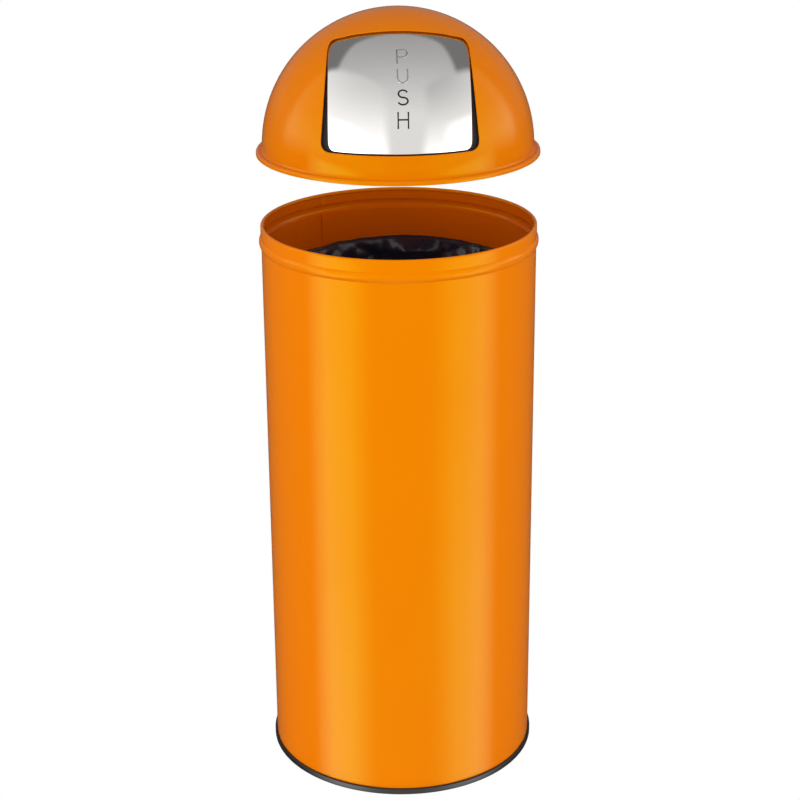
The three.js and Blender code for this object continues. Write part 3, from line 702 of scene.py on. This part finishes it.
@dataclass
class Drum:
    """Enamelled sheet-steel drum on its black foot ring, with a wired rim, a bead and a lock seam."""

    body: str = "bin_body"
    wall: float = 149.5
    sheet: float = 1.0
    height: float = 626.0
    collar: float = 150.0
    rim_wire: float = 1.9
    bead_middle: float = 607.0
    bead_half: float = 5.5
    bead_depth: float = 2.4
    bead_fullness: float = 2.3
    bead_points: int = 29
    wall_foot: float = 2.7
    seam_angle: float = 124.5
    seam_width: float = 6.0
    seam_height: float = 1.3
    seam_flank: float = 0.12
    ring_outside: float = 152.1
    ring_width: float = 12.0
    ring_height: float = 7.0
    ring_floor: float = 2.4
    ring_bevel: float = 1.1
    plate_top: float = 13.0
    plate_foot: float = 3.2
    plate_gap: float = 0.3
    pan_share: float = 0.8
    pan_depth: float = 2.0
    steps: int = 240

    def build(self) -> None:
        """Builds the drum's pieces and replaces the faceted solids."""
        self._shell()
        self._ring()
        self._plate()

    def _bead(self, offset: float) -> Profile:
        """The swaged bead as a round-topped swell of the wall.

        Args:
            offset: Radius of the wall that carries it.

        Returns:
            Profile points, upwards.
        """
        points: Profile = []
        widening = self.collar - self.wall
        for share in np.linspace(-1, 1, self.bead_points):
            step = widening * (share + 1) / 2
            swell = (self.bead_depth - 0.5 * widening) * (1 - abs(share) ** self.bead_fullness)
            points.append((offset + step + swell, self.bead_middle + share * self.bead_half))
        return points

    def _shell(self) -> None:
        """Wall, bead, collar and rolled rim in one skin, with the seam standing proud inside and painted
        shade on the inner faces.
        """
        roll = (self.collar - self.rim_wire, self.height - self.rim_wire)
        inner = self.wall - self.sheet
        profile: Profile = [(self.wall - 0.5, self.wall_foot), (self.wall, self.wall_foot + 0.5)]
        heights = np.linspace(30, self.bead_middle - self.bead_half - 4, 20)
        profile += [(self.wall, z) for z in heights]
        profile += self._bead(self.wall)
        profile += arc(roll, self.rim_wire, 0, 250, 20)
        profile += [(self.collar - self.sheet, roll[1] - 1.4 * self.rim_wire)]
        profile += self._bead(inner)[::-1]
        profile += [(inner, z) for z in heights[::-1]]
        profile += [(inner, self.wall_foot + 0.5)]
        seam = math.radians(self.seam_angle)
        half = self.seam_width / 2 / inner
        edge = 1 + self.seam_flank
        # meridians at the seam, counted in its half widths
        near = [seam + half * s for s in (-1.25, -edge, -1.0, -0.9, -0.6, 0.0, 0.6, 0.9, 1.0, edge, 1.25)]
        angles = sorted([a for a in even_angles(self.steps) if abs(a - seam) > 1.4 * half] + near)
        lowest_collar = self.height - 4 * self.rim_wire

        def shape(radius: float, height: float, angle: float) -> float:
            """Raises the seam's ridge on the inside of the wall.

            Args:
                radius: Radius of the plain wall.
                height: Height of the point.
                angle: Its angle round the axis.

            Returns:
                The radius with the ridge.
            """
            away = abs(angle - seam) / half
            if away > edge or radius >= self.wall or height > lowest_collar:
                return radius
            return radius - self.seam_height * min(1.0, (edge - away) / self.seam_flank)

        draft = Draft()
        draft.revolve(profile, angles, shape=shape)
        shell = draft.place("drum_shell", ENAMEL, self.body, "enamel", "body_shell")
        # inner faces below the rim take the darker copy of the enamel: painted shade
        shell.data.materials.append(INSIDE_PAINTED_SHADE_ENAMEL.material())
        for face in shell.data.polygons:
            x, y, z = face.center / MM
            inwards = face.normal.x * x + face.normal.y * y < 0
            face.material_index = int(inwards and z < self.height - 2 * self.rim_wire)

    def _ring(self) -> None:
        """Moulded foot ring with softened edges."""
        outside, inside = self.ring_outside, self.ring_outside - self.ring_width
        bevel = self.ring_bevel
        profile = [(inside, self.ring_floor), (inside, 0.4), (inside + 0.4, 0.0), (outside - bevel, 0.0)]
        profile += arc((outside - bevel, bevel), bevel, -90, 0, 6)
        profile += arc((outside - bevel, self.ring_height - bevel), bevel, 0, 90, 6)
        profile += [(self.wall + 0.2, self.ring_height), (self.wall + 0.2, self.ring_floor)]
        draft = Draft()
        draft.revolve(profile, even_angles(self.steps))
        draft.place("foot_ring", FOOT_PLASTIC, self.body, "plastic", "base_ring")

    def _plate(self) -> None:
        """Bottom plate with its shallow pan."""
        rim = self.wall - self.sheet - self.plate_gap
        pan, foot = self.pan_share * rim, self.plate_foot
        top, low = self.plate_top, self.plate_top - self.pan_depth
        profile = [(rim, foot), *arc((rim - 1.5, top - 1.5), 1.5, 0, 90, 5), (pan + 6, top), (pan, low),
                   (0.01, low), (0.01, low - 1), (pan, low - 1), (pan + 6, top - 1),
                   *arc((rim - 2.4, top - 2.4), 1.4, 90, 0, 4), (rim - 1, foot)]
        draft = Draft()
        draft.revolve(profile, even_angles(120))
        draft.place("bottom_pan", GALVANISED, self.body, "galvanised", "bottom_plate")


# ---- bucket and bag

@dataclass
class Bucket:
    """Galvanised inner bucket with ears and a bail, and the bag that lines it."""

    body: str = "inner_bucket"
    bail_body: str = "bail"
    rim_outside: float = 138.5
    roll: float = 2.0
    top: float = 565.5
    foot: float = 13.3
    sheet: float = 0.8
    taper: float = 4.0
    base_rise: float = 7.0
    pivot: float = 550.0
    bail_radius: float = 144.05
    wire: float = 2.0
    droop: float = 4.0
    eye_inner: float = 137.1
    peen_radius: float = 3.5
    peen_length: float = 1.3
    grip_radius: float = 3.5
    grip_length: float = 90.0

    def build(self) -> None:
        """Builds the bucket, its bail and the bag."""
        self._wall()
        self._bail()
        Bag(self).build()

    def _wall(self) -> None:
        """Tapered wall with a rolled rim, and the base."""
        centre = (self.rim_outside - self.roll, self.top - self.roll)
        wall_top = self.rim_outside - 1.7 * self.roll
        wall_bottom = wall_top - self.taper

        def wall_at(height: float) -> float:
            """Outer radius of the wall at a height."""
            share = (height - self.foot) / (self.top - 2 * self.roll - self.foot)
            return wall_bottom + (wall_top - wall_bottom) * share

        heights = np.linspace(self.foot, self.top - 2 * self.roll, 90)
        outer = [(wall_at(z), float(z)) for z in heights]
        inner = [(r - self.sheet, z) for r, z in outer[::-1]]
        draft = Draft()
        draft.revolve([*outer, *arc(centre, self.roll, -60, 150, 14), *inner], even_angles(160))
        draft.place("bucket_wall", GALVANISED, self.body, "galvanised", "inner_bucket")
        rim = wall_bottom - self.sheet - 0.3
        base = self.foot + self.base_rise
        pan = Draft()
        pan.revolve([(rim, self.foot), *arc((rim - 2, base - 2), 2, 0, 90, 5), (0.01, base),
                     (0.01, base - self.sheet), (rim - 2, base - self.sheet), (rim - self.sheet, base - 2),
                     (rim - self.sheet, self.foot)], even_angles(160))
        pan.place("bucket_pan", GALVANISED, self.body, "galvanised", "bucket_base")

    def _bail(self) -> None:
        """Wire bail with bent and peened ends, and the sleeve at its middle."""
        tilt = Matrix.Rotation(math.radians(self.droop), 4, "X")
        lift = Vector((0, 0, self.pivot))
        bend = self.wire
        flat = [Vector((-self.eye_inner, 0, 0)), Vector((-self.bail_radius + bend, 0, 0)),
                Vector((-self.bail_radius + 0.3 * bend, -0.3 * bend, 0))]
        for angle in np.linspace(0.02, math.pi - 0.02, 97):
            flat.append(-self.bail_radius * Vector((math.cos(angle), math.sin(angle), 0)))
        flat += [Vector((-p.x, p.y, 0)) for p in flat[2::-1]]
        draft = Draft()
        draft.sweep([tilt @ p + lift for p in flat], self.wire, 14)
        for side in (-1, 1):
            ends = [Vector((side * (self.eye_inner - 0.3 + x), 0, 0)) for x in (0.0, self.peen_length)]
            draft.sweep([tilt @ p + lift for p in ends], self.peen_radius, 18)
        draft.place("bail_wire", ZINC, self.bail_body, "zinc", "bail_handle")
        half = self.grip_length / 2 / self.bail_radius
        path = []
        for share in np.linspace(-1, 1, 25):
            angle = -math.pi / 2 + half * share
            path.append(tilt @ (self.bail_radius * Vector((math.cos(angle), math.sin(angle), 0))) + lift)
        sleeve = Draft()
        sleeve.sweep(path, self.grip_radius, 20)
        sleeve.place("bail_sleeve", FOOT_PLASTIC, self.bail_body, "plastic", "bail_grip")


@dataclass
class Bag:
    """Loose crumpled bag: a cuff outside the bucket's rim and creased walls inside it."""

    bucket: Bucket
    cuff_radius: float = 139.3
    cuff_length: float = 56.9
    rim_radius: float = 137.2
    rim_roll: float = 2.4
    film_top: float = 134.6
    film_bottom: float = 129.2
    film: float = 0.15
    puff: float = 5.2
    puff_angle: float = 80.0
    puff_spread: float = 42.0
    wave: float = 1.5
    fold_size: float = 52.0
    fold_depth: float = 18.0
    crease_size: float = 21.0
    crease_depth: float = 3.0
    drift_size: float = 55.0
    drift_depth: float = 4.0
    puff_depth: float = 30.0
    slack_depth: float = 12.0
    columns: int = 480
    cuff_rows: int = 3
    wall_rows: int = 84
    row_growth: float = 1.7

    def build(self) -> None:
        """Builds the crumpled film and gives it its thickness."""
        floor = self.bucket.foot + self.bucket.base_rise + 1.2
        profile = self._profile(floor)
        rows, columns = len(profile), self.columns
        draft = Draft()
        draft.points = [self._crumple(radius, height, math.tau * c / columns, k < self.cuff_rows)
                        for c in range(columns) for k, (radius, height) in enumerate(profile)]
        draft.faces = lattice(columns, rows, (True, False))
        centre = len(draft.points)
        draft.points.append((0.0, 0.0, floor))
        last = [c * rows + rows - 1 for c in range(columns)]
        draft.faces.extend((here, last[(c + 1) % columns], centre) for c, here in enumerate(last))
        bag = draft.place("bag_film", FILM, self.bucket.body, "bag_film", "liner_bag", crease=24)
        thick = bag.modifiers.new("film", "SOLIDIFY")
        thick.thickness = self.film * MM
        thick.offset = -1

    def _profile(self, floor: float) -> Profile:
        """The smooth bag, from the cuff's lower edge over the rim to its base.

        Args:
            floor: Height of the base.

        Returns:
            Profile points.
        """
        top = self.bucket.top
        profile: Profile = [(self.cuff_radius - 0.1, top - self.cuff_length), (self.cuff_radius, top - 30),
                            (self.cuff_radius, top - 6)]
        profile += arc((self.rim_radius, top - 1.4), self.rim_roll, 0, 180, 8)
        for share in np.linspace(0.04, 1.0, self.wall_rows) ** self.row_growth:
            radius = self.film_top + (self.film_bottom - self.film_top) * share
            profile.append((radius, top - 2 - 0.93 * share * (top - floor)))
        base = (0.95, 0.85, 0.7, 0.5, 0.3, 0.1)
        return profile + [(self.film_bottom * s, floor + 18 * s * s) for s in base]

    def _crumple(self, radius: float, height: float, angle: float, cuff: bool) -> Point:
        """Places a point of the bag as loose film lies.

        Args:
            radius: Radius on the smooth bag.
            height: Height on the smooth bag.
            angle: Angle round the axis, from +X.
            cuff: Whether the point belongs to the flat cuff outside the bucket.

        Returns:
            The point, with folds, creases and a wavy top edge.
        """
        cos, sin = math.cos(angle), math.sin(angle)
        place = Vector((radius * cos, radius * sin, height))
        depth = self.bucket.top + 1 - height
        away = (math.degrees(angle) - self.puff_angle) / self.puff_spread
        puff = self.puff * math.exp(-away * away) + self.wave * noise.noise(Vector((cos, sin, 0)) * 7)
        lifted = height + max(-0.4, puff) * max(0.0, 1 - depth / self.puff_depth)
        if cuff:
            return radius * cos, radius * sin, lifted
        loose = min(1.0, max(0.0, depth / self.slack_depth))
        # the film folds where two cells meet: broad folds first, then fine creases
        near, far = noise.voronoi(Vector((place.x, place.y, 0.6 * place.z)) / self.fold_size)[0][:2]
        fine_near, fine_far = noise.voronoi(place / self.crease_size + Vector((5, 5, 5)))[0][:2]
        drift = noise.noise(place / self.drift_size)
        inward = 1.0 + loose * (self.fold_depth * (far - near) + self.crease_depth * (fine_far - fine_near)
                                + self.drift_depth * max(0.0, drift + 0.3))
        r = radius - inward if height < self.bucket.top - 1 else radius
        return r * cos, r * sin, lifted + loose * self.wave * drift


# ---- lid

@dataclass
class DomeLid:
    """Hemispherical lid with a rolled lip and an opening whose edge is turned inwards."""

    centre: float
    body: str = "lid"
    radius: float = 145.4
    sheet: float = 1.0
    flange_drop: float = 4.2
    lip_depth: float = 3.2
    lip_inside: float = 150.5
    lip_thickness: float = 1.5
    lip_shoulder: float = 2.6
    bottom_elevation: float = 8.3
    top_elevation: float = 64.3
    bottom_spread: float = 33.6
    top_spread: float = 29.6
    arch: float = 12.0
    top_corner: float = 14.0
    bottom_corner: float = 10.0
    edge_roll: float = 1.2
    hem_depth: float = 2.0
    hem_thickness: float = 1.0
    opening_back: float = -20.0
    far: float = 50.0
    steps: tuple[int, int] = (300, 76)

    def on_dome(self, degrees: float) -> float:
        """Height or half width on the dome at an angle."""
        return self.radius * math.sin(math.radians(degrees))

    def opening(self) -> Outline:
        """Draws the opening as it is seen from the front.

        Returns:
            Its outline.
        """
        bottom, top = self.on_dome(self.bottom_elevation), self.on_dome(self.top_elevation)
        low_half, high_half = self.on_dome(self.bottom_spread), self.on_dome(self.top_spread)
        bow = (high_half ** 2 + self.arch ** 2) / (2 * self.arch)
        corners = [(-low_half, bottom, self.bottom_corner), (low_half, bottom, self.bottom_corner),
                   (high_half, top - self.arch, self.top_corner)]
        for x in np.linspace(high_half, -high_half, 25)[4:-4]:
            corners.append((float(x), top - bow + math.sqrt(bow ** 2 - x ** 2), 0.0))
        corners.append((-high_half, top - self.arch, self.top_corner))
        return Outline(corners)

    def build(self) -> None:
        """Builds the dome and dresses the fittings under it."""
        outline = self.opening()
        shells = ((self.radius, self.edge_roll), (self.radius - self.sheet, self.hem_thickness))
        draft, lining = [clipped_sphere(radius, partial(self._outside, outline, offset), 0, 90, self.steps)
                         for radius, offset in shells]
        draft.add(lining.points, [face[::-1] for face in lining.faces])
        self._hem(draft, outline)
        self._lip(draft)
        draft.place("dome_cover", LID_ENAMEL, self.body, "enamel", "dome_shell",
                    lift=self.centre, crease=SHEET_CREASE)

    def _outside(self, outline: Outline, offset: float, points: np.ndarray) -> np.ndarray:
        """Signs points of the dome, positive outside the opening; its back is always outside.

        Args:
            outline: The opening.
            offset: Distance from the outline at which the outside starts.
            points: Rows of X-Y-Z.

        Returns:
            One value for each row.
        """
        away = np.full(len(points), self.far)
        front = points[:, 1] < self.opening_back
        away[front] = outline.distance(points[front][:, (0, 2)]) - offset
        return away

    def _hem(self, draft: Draft, outline: Outline) -> None:
        """Rolls the opening's edge inwards and returns it to the lining.

        Args:
            draft: Draft that gets the hem.
            outline: The opening.
        """
        section = [(self.edge_roll - self.edge_roll * math.sin(t),
                    self.radius - self.edge_roll + self.edge_roll * math.cos(t))
                   for t in np.linspace(0, math.pi / 2, 9)]
        deep = self.radius - self.hem_depth
        half = self.hem_thickness / 2
        section += [(0.0, deep + half)]
        section += [(half - half * math.cos(t), deep + half - half * math.sin(t))
                    for t in np.linspace(0.4, math.pi - 0.4, 5)]
        section += [(self.hem_thickness, deep + half), (self.hem_thickness, self.radius - self.sheet)]
        add_strip(draft, outline, section)

    def _lip(self, draft: Draft) -> None:
        """Revolves the fillet, the flange and the rolled lip under the dome.

        Args:
            draft: Draft that gets them.
        """
        top = self.sheet - self.flange_drop
        bottom = -self.flange_drop - self.lip_depth
        roll = self.lip_thickness / 2
        outside = self.lip_inside + self.lip_thickness
        inner, under = self.radius - self.sheet, -self.flange_drop
        profile: Profile = [(inner, 0.0), (inner, under + 0.4), (inner + 0.4, under),
                            (self.lip_inside - 0.4, under), (self.lip_inside, under - 0.4)]
        profile += arc((self.lip_inside + roll, bottom + roll), roll, -180, 0, 10)
        shoulder = self.lip_shoulder
        profile += arc((outside - shoulder, top - 1.7), shoulder, 0, 128, 12)
        # steps out and up of the fillet between flange and dome
        fillet = ((1.5, 0.15), (0.9, 0.5), (0.45, 1.2), (0.15, 2.1))
        profile += [(self.radius + out, top + up) for out, up in fillet] + [(self.radius, 0.0)]
        draft.revolve(profile, even_angles(300), closed=False)


def add_strip(draft: Draft, outline: Outline, section: Profile) -> None:
    """Adds a strip along an outline on a sphere.

    Args:
        draft: Draft that gets the strip.
        outline: The outline that it follows.
        section: Offsets from the outline and sphere radii, from the outside to the inside.
    """
    rings = [outline.ring(offset, radius) for offset, radius in section]
    points = [point for ring in rings for point in ring]
    draft.add(points, lattice(len(rings), len(rings[0]), (False, True), flip=True))


# ---- flap

@dataclass
class PushFlap:
    """Polished spherical flap with turned edges and pressed letters."""

    lid: DomeLid
    body: str = "flap"
    gap: float = 1.3
    sheet: float = 1.0
    side_gap: float = 7.5
    bottom_gap: float = 0.9
    border: float = 2.2
    corner: float = 8.0
    tilt: float = 16.8
    hem_depth: float = 4.0
    edge_roll: float = 1.2
    steps: tuple[int, int] = (150, 110)
    border_steps: tuple[int, int] = (230, 110)
    lowest: float = 5.0

    @property
    def radius(self) -> float:
        """Outer radius of the flap."""
        return self.lid.radius - self.lid.sheet - self.gap

    @property
    def across(self) -> np.ndarray:
        """Normal of the hinge plane, towards the front."""
        tilt = math.radians(self.tilt)
        return np.array((0.0, -math.cos(tilt), -math.sin(tilt)))

    @property
    def half(self) -> float:
        """Half width of the flap."""
        return self.lid.on_dome(self.lid.bottom_spread) - self.side_gap

    @property
    def bottom(self) -> float:
        """Height of its lower edge above the dome's centre."""
        return self.lid.on_dome(self.lid.bottom_elevation) + self.bottom_gap

    def build(self) -> None:
        """Builds the panel, its border and its letters."""
        half, high = self.half, self.radius * 0.999
        outline = Outline([(-half, self.bottom, self.corner), (half, self.bottom, self.corner),
                           (half, high, 0.0), (-half, high, 0.0)])
        shells = ((self.radius, self.edge_roll), (self.radius - self.sheet, self.sheet))
        draft, back = [clipped_sphere(radius, partial(self._inside, outline, offset), self.lowest, 89.9,
                                      self.steps, FRONT) for radius, offset in shells]
        draft.add(back.points, [face[::-1] for face in back.faces])
        self._hem(draft, outline)
        draft.place("flap_cover", POLISHED, self.body, "polished", "flap_panel",
                    lift=self.lid.centre, crease=SHEET_CREASE)
        self._border()
        Letters(self).build()

    def _inside(self, outline: Outline, offset: float, points: np.ndarray) -> np.ndarray:
        """Signs points, positive inside the flap's outline and in front of the hinge plane."""
        within = -outline.distance(points[:, (0, 2)]) - offset
        return np.minimum(within, points @ self.across)

    def _hem(self, draft: Draft, outline: Outline) -> None:
        """Turns the side and bottom edges inwards.

        Args:
            draft: Draft that gets the hem.
            outline: Outline of the flap.
        """
        roll = self.edge_roll
        section = [(-roll + roll * math.sin(t), self.radius - roll + roll * math.cos(t))
                   for t in np.linspace(0, math.pi / 2, 7)]
        deep = self.radius - self.hem_depth
        section += [(0.0, deep), (-self.sheet, deep), (-self.sheet, self.radius - self.sheet)]
        self._add_front(draft, outline, section)

    def _border(self) -> None:
        """Builds the sunk border that runs behind the edge of the dome's opening; its black finish is
        painted shade for the gap round the flap.
        """
        draft = Draft()
        deep = self.radius - self.hem_depth
        opening = self.lid.opening()

        def keep(points: np.ndarray) -> np.ndarray:
            """Signs each point, positive between the flap's hem and the border's outer edge.

            Args:
                points: Rows of X-Y-Z.

            Returns:
                One value for each row.
            """
            flat = points[:, (0, 2)]
            outer = self.border - opening.distance(flat)
            past_hem = np.maximum(np.abs(flat[:, 0]) - self.half, self.bottom - flat[:, 1]) + 2 * self.sheet
            return np.minimum(np.minimum(outer, past_hem), points @ self.across)

        for radius, step in ((deep + self.sheet, 1), (deep, -1)):
            face = clipped_sphere(radius, keep, self.lowest, 75, self.border_steps, FRONT)
            draft.add(face.points, [corners[::step] for corners in face.faces])
        edge = [(self.border, deep + self.sheet), (self.border, deep)]
        self._add_front(draft, opening, edge)
        # black finish: painted shade in the gap between the flap and the opening
        draft.place("flap_border", BORDER_PAINTED_SHADE, self.body, "polished",
                    lift=self.lid.centre, crease=SHEET_CREASE)

    def _add_front(self, draft: Draft, outline: Outline, section: Profile) -> None:
        """Adds a strip along an outline, without what lies behind the hinge plane.

        Args:
            draft: Draft that gets the strip.
            outline: The outline that it follows.
            section: Offsets from the outline and sphere radii.
        """
        strip = Draft()
        add_strip(strip, outline, section)
        kept = np.array(strip.points) @ self.across > 0
        faces = [face[::-1] for face in strip.faces if all(kept[i] for i in face)]
        draft.add(strip.points, faces)


@dataclass
class Letters:
    """Plain upright letters pressed into the flap, one above the other, drawn by single strokes."""

    flap: PushFlap
    width: float = 10.2
    stroke: float = 1.1
    middle: float = 3.1
    sunk: float = 0.6
    rows: tuple[tuple[str, float, float], ...] = (
        ("P", 115.6, 104.6), ("U", 99.9, 88.0), ("S", 81.8, 68.9), ("H", 62.3, 46.7))

    def build(self) -> None:
        """Builds the four letters on the flap's surface."""
        for letter, top, bottom in self.rows:
            # S and H take the painted dark reflection, P and U the painted grey reflection
            finish = LETTER_PAINTED_GREY_REFLECTION if letter in "PU" else LETTER_PAINTED_DARK_REFLECTION
            draft = Draft()
            for line in self._strokes(letter):
                path = [self._on_flap(u, v, top, bottom) for u, v in line]
                draft.sweep(path, self.stroke, 10)
            draft.place(f"flap_letter_{letter}", finish, self.flap.body, "polished",
                        lift=self.flap.lid.centre)

    def _on_flap(self, u: float, v: float, top: float, bottom: float) -> Vector:
        """A point of a letter's box, laid on the flap.

        Args:
            u: 0 at the letter's left, 1 at its right.
            v: 0 at its foot, 1 at its head.
            top: Height of its head above the dome's centre.
            bottom: Height of its foot.

        Returns:
            The point in millimetres about the dome's centre.
        """
        x = self.middle + (u - 0.5) * self.width
        z = bottom + (top - bottom) * v
        reach = self.flap.radius - self.sunk
        return Vector((x, -math.sqrt(reach ** 2 - x ** 2 - z ** 2), z))

    @staticmethod
    def _strokes(letter: str) -> list[Profile]:
        """Draws a letter in a unit box.

        Args:
            letter: P, U, S or H.

        Returns:
            Its centre lines.
        """
        def bow(centre: tuple[float, float], size: tuple[float, float],
                start: float, end: float) -> Profile:
            """Points of an elliptic bow between two angles in degrees."""
            angles = np.radians(np.linspace(start, end, 14))
            return [(centre[0] + size[0] * math.cos(a), centre[1] + size[1] * math.sin(a)) for a in angles]

        if letter == "P":
            return [[(0, 0), (0, 1), (0.5, 1), *bow((0.55, 0.73), (0.42, 0.27), 90, -90), (0, 0.46)]]
        if letter == "U":
            return [[(0, 1), (0, 0.4), *bow((0.5, 0.36), (0.5, 0.36), 180, 360), (1, 1)]]
        if letter == "H":
            return [[(0, 0), (0, 1)], [(1, 0), (1, 1)], [(0, 0.54), (1, 0.54)]]
        upper = bow((0.5, 0.75), (0.44, 0.25), 20, 270)
        lower = bow((0.5, 0.25), (0.48, 0.25), 90, -160)
        return [upper + lower]


# ---- CAD fittings

FITTING_FINISHES: dict[str, Finish] = {
    "bail_ear": ZINC,
    "ear_rivet": ZINC,
    "hinge_rod": ZINC,
    "hinge_bracket": ZINC,
    "rod_clip": SPRING_WIRE,
    "stop_pin": ZINC,
    "stop_sleeve": RUBBER,
    "flap_lug": ZINC,
    "hinge_bush": NYLON,
    "torsion_spring": SPRING_WIRE,
}


def dress_fittings() -> None:
    """Gives each small part that keeps its CAD mesh its finish."""
    for name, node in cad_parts.items():
        for prefix, finish in FITTING_FINISHES.items():
            if name.startswith(prefix):
                node.data.materials.clear()
                node.data.materials.append(finish.material())
                LOG.info("%s dressed as %s", name, finish.name)


# ---- studio

def beyond(azimuth: float, sign: int) -> Point:
    """Normal of an upright plane at an azimuth; its positive side lies above it (sign 1) or below (-1)."""
    angle = math.radians(azimuth)
    return sign * math.cos(angle), sign * math.sin(angle), 0.0


BELOW: Point = (0.0, 0.0, -1.0)
SHALLOW: Point = (0.0, -0.22, 1.0)


@dataclass(frozen=True)
class Patch:
    """Part of the light tent: the directions on the positive side of every plane."""

    planes: tuple[Point, ...]
    low: float
    high: float
    softness: float = 0.03
    slope: Point = (0.0, 0.0, 1.0)
    span: tuple[float, float] = (0.0, 0.85)

    def lay(self, book: NodeBook, direction: Socket, under: Socket) -> Socket:
        """Lays the patch over a brightness.

        Args:
            book: Node book of the world.
            direction: Where a ray goes.
            under: Brightness before the patch.

        Returns:
            Brightness with the patch.
        """
        level = book.remap(book.along(direction, self.slope), *self.span, self.low, self.high)
        # only directions on the right side of every plane take the whole change
        change = book.maths("SUBTRACT", level, under)
        for plane in self.planes:
            share = book.remap(book.along(direction, plane), -self.softness, self.softness, 0.0, 1.0)
            change = book.maths("MULTIPLY", change, share)
        return book.maths("ADD", under, change)


@dataclass
class Studio:
    """Pale floor, a light tent of two leaning walls with a gap at the front, and the camera."""

    camera_distance: float = 1.9926
    camera_height: float = 1.1736
    pitch: float = 20.761
    roll: float = -0.431
    orbit: float = 1.0
    lens: float = 85.31
    sensor: float = 36.0
    floor_reach: float = 6000.0
    rear: float = 0.22
    lamp_energy: float = 1.3
    lamp_spread: float = 50.0
    lamp_pitch: float = -86.0
    tent: tuple[Patch, ...] = (
        # soft ceiling in front, in the upper half of the flap
        Patch(((0.0, -1.0, 0.54), (-0.817, -0.577, 0.703), (0.723, -0.691, 0.713)), 0.98, 0.45,
              0.04, (0.0, 0.6, 0.8), (0.0, 1.0)),
        # leaning wall at the left and at the right
        Patch(((-0.777, -0.629, -0.519), (-0.798, 0.125, -0.077), beyond(-110.0, 1)), 1.8, 0.84, 0.05),
        Patch(((0.81, -0.586, -0.627), (0.765, 0.265, -0.19), beyond(114.5, -1)), 1.6, 0.6, 0.05),
        # brighter foot of either wall
        Patch((beyond(-110.0, 1), beyond(-42.0, -1), (-0.272, -0.22, -1.0)), 2.3, 2.3, 0.15),
        Patch((beyond(114.5, -1), beyond(47.0, 1), (0.283, -0.205, -1.0)), 2.4, 2.4, 0.15),
        # below the horizon: dark all round, the pale gap in front and the two bright strips
        Patch((BELOW,), 0.06, 0.06, 0.1),
        Patch((beyond(-40.0, 1), beyond(38.0, -1), BELOW), 1.15, 1.15, 0.1),
        Patch((beyond(-74.0, 1), beyond(-34.0, -1), BELOW, (-0.7, -0.45, 1.0)), 6.0, 6.0, 0.16),
        Patch((beyond(35.0, 1), beyond(80.0, -1), BELOW, (0.73, -0.4, 1.0)), 4.6, 4.6, 0.16),
        # just under the horizon, in the flap's lower edge
        Patch((beyond(-80.0, 1), beyond(-13.0, -1), BELOW, SHALLOW), 1.7, 1.7),
        Patch((beyond(21.0, 1), beyond(80.0, -1), BELOW, SHALLOW), 1.7, 1.7),
    )

    def build(self) -> None:
        """Builds the stage, the light tent and the camera."""
        self._floor()
        self._back_light()
        self._world()
        self._camera()
        bpy.context.scene.view_settings.view_transform = "Standard"

    def _floor(self) -> None:
        """A wide pale floor: pure white to the camera, matt to every other ray."""
        draft = Draft()
        reach = self.floor_reach
        corners = ((-1, -1), (1, -1), (1, 1), (-1, 1))
        draft.add([(x * reach, y * reach, 0) for x, y in corners], [(0, 1, 2, 3)])
        material = bpy.data.materials.new("studio_floor")
        material.use_nodes = True
        book = NodeBook(material.node_tree)
        shader = material.node_tree.nodes["Principled BSDF"]
        shader.inputs["Base Color"].default_value = (0.9, 0.9, 0.9, 1.0)
        shader.inputs["Roughness"].default_value = 0.9
        shader.inputs["Specular IOR Level"].default_value = 0.1
        glow = book.node("ShaderNodeEmission", {"Color": (1, 1, 1, 1), "Strength": 1.0})
        output = material.node_tree.nodes["Material Output"]
        book.show(glow.outputs[0], shader.outputs[0], output.inputs["Surface"])
        floor = draft.build("floor", material, lift=-0.05)
        floor.visible_glossy = False

    def _back_light(self) -> None:
        """A broad lamp behind the bin, so that its back is lit as well; it shows in no reflection."""
        lamp = bpy.data.lights.new("back_fill", "SUN")
        lamp.energy = self.lamp_energy
        lamp.angle = math.radians(self.lamp_spread)
        light = bpy.data.objects.new("back_fill", lamp)
        light.rotation_euler = (math.radians(self.lamp_pitch), 0.0, 0.0)
        light.visible_glossy = False
        bpy.context.scene.collection.objects.link(light)

    def _world(self) -> None:
        """White to the camera, and the light tent to every other ray."""
        world = bpy.data.worlds.new("studio")
        bpy.context.scene.world = world
        world.use_nodes = True
        book = NodeBook(world.node_tree)
        world.node_tree.nodes.clear()
        output = book.node("ShaderNodeOutputWorld")
        seen = book.node("ShaderNodeBackground", {"Color": (1, 1, 1, 1), "Strength": 1.0})
        room = book.node("ShaderNodeBackground", {"Color": (1, 1, 1, 1)})
        direction = book.node("ShaderNodeTexCoord").outputs["Generated"]
        level = book.node("ShaderNodeValue")
        level.outputs[0].default_value = self.rear
        brightness = level.outputs[0]
        for patch in self.tent:
            brightness = patch.lay(book, direction, brightness)
        book.link(brightness, room.inputs["Strength"])
        book.show(seen.outputs[0], room.outputs[0], output.inputs["Surface"])

    def _camera(self) -> None:
        """The camera, placed as a fit to the photograph gave it."""
        data = bpy.data.cameras.new("camera")
        data.lens = self.lens
        data.sensor_width = self.sensor
        camera = bpy.data.objects.new("camera", data)
        orbit = math.radians(self.orbit)
        camera.location = (-self.camera_distance * math.sin(orbit), -self.camera_distance * math.cos(orbit),
                           self.camera_height)
        turn = Euler((math.radians(90 - self.pitch), 0, -orbit)).to_matrix()
        camera.rotation_euler = (turn @ Matrix.Rotation(math.radians(self.roll), 3, "Z")).to_euler()
        bpy.context.scene.collection.objects.link(camera)
        bpy.context.scene.camera = camera


# ---- main

def main() -> None:
    """Builds the studio and every sub-assembly."""
    logging.basicConfig(level=logging.INFO, format="%(name)s: %(message)s")
    Studio().build()
    Drum().build()
    Bucket().build()
    dome_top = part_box("dome_shell")[1][2] / MM
    lid = DomeLid(centre=dome_top - DomeLid.radius)
    lid.build()
    PushFlap(lid).build()
    dress_fittings()


if __name__ == "__main__":
    main()
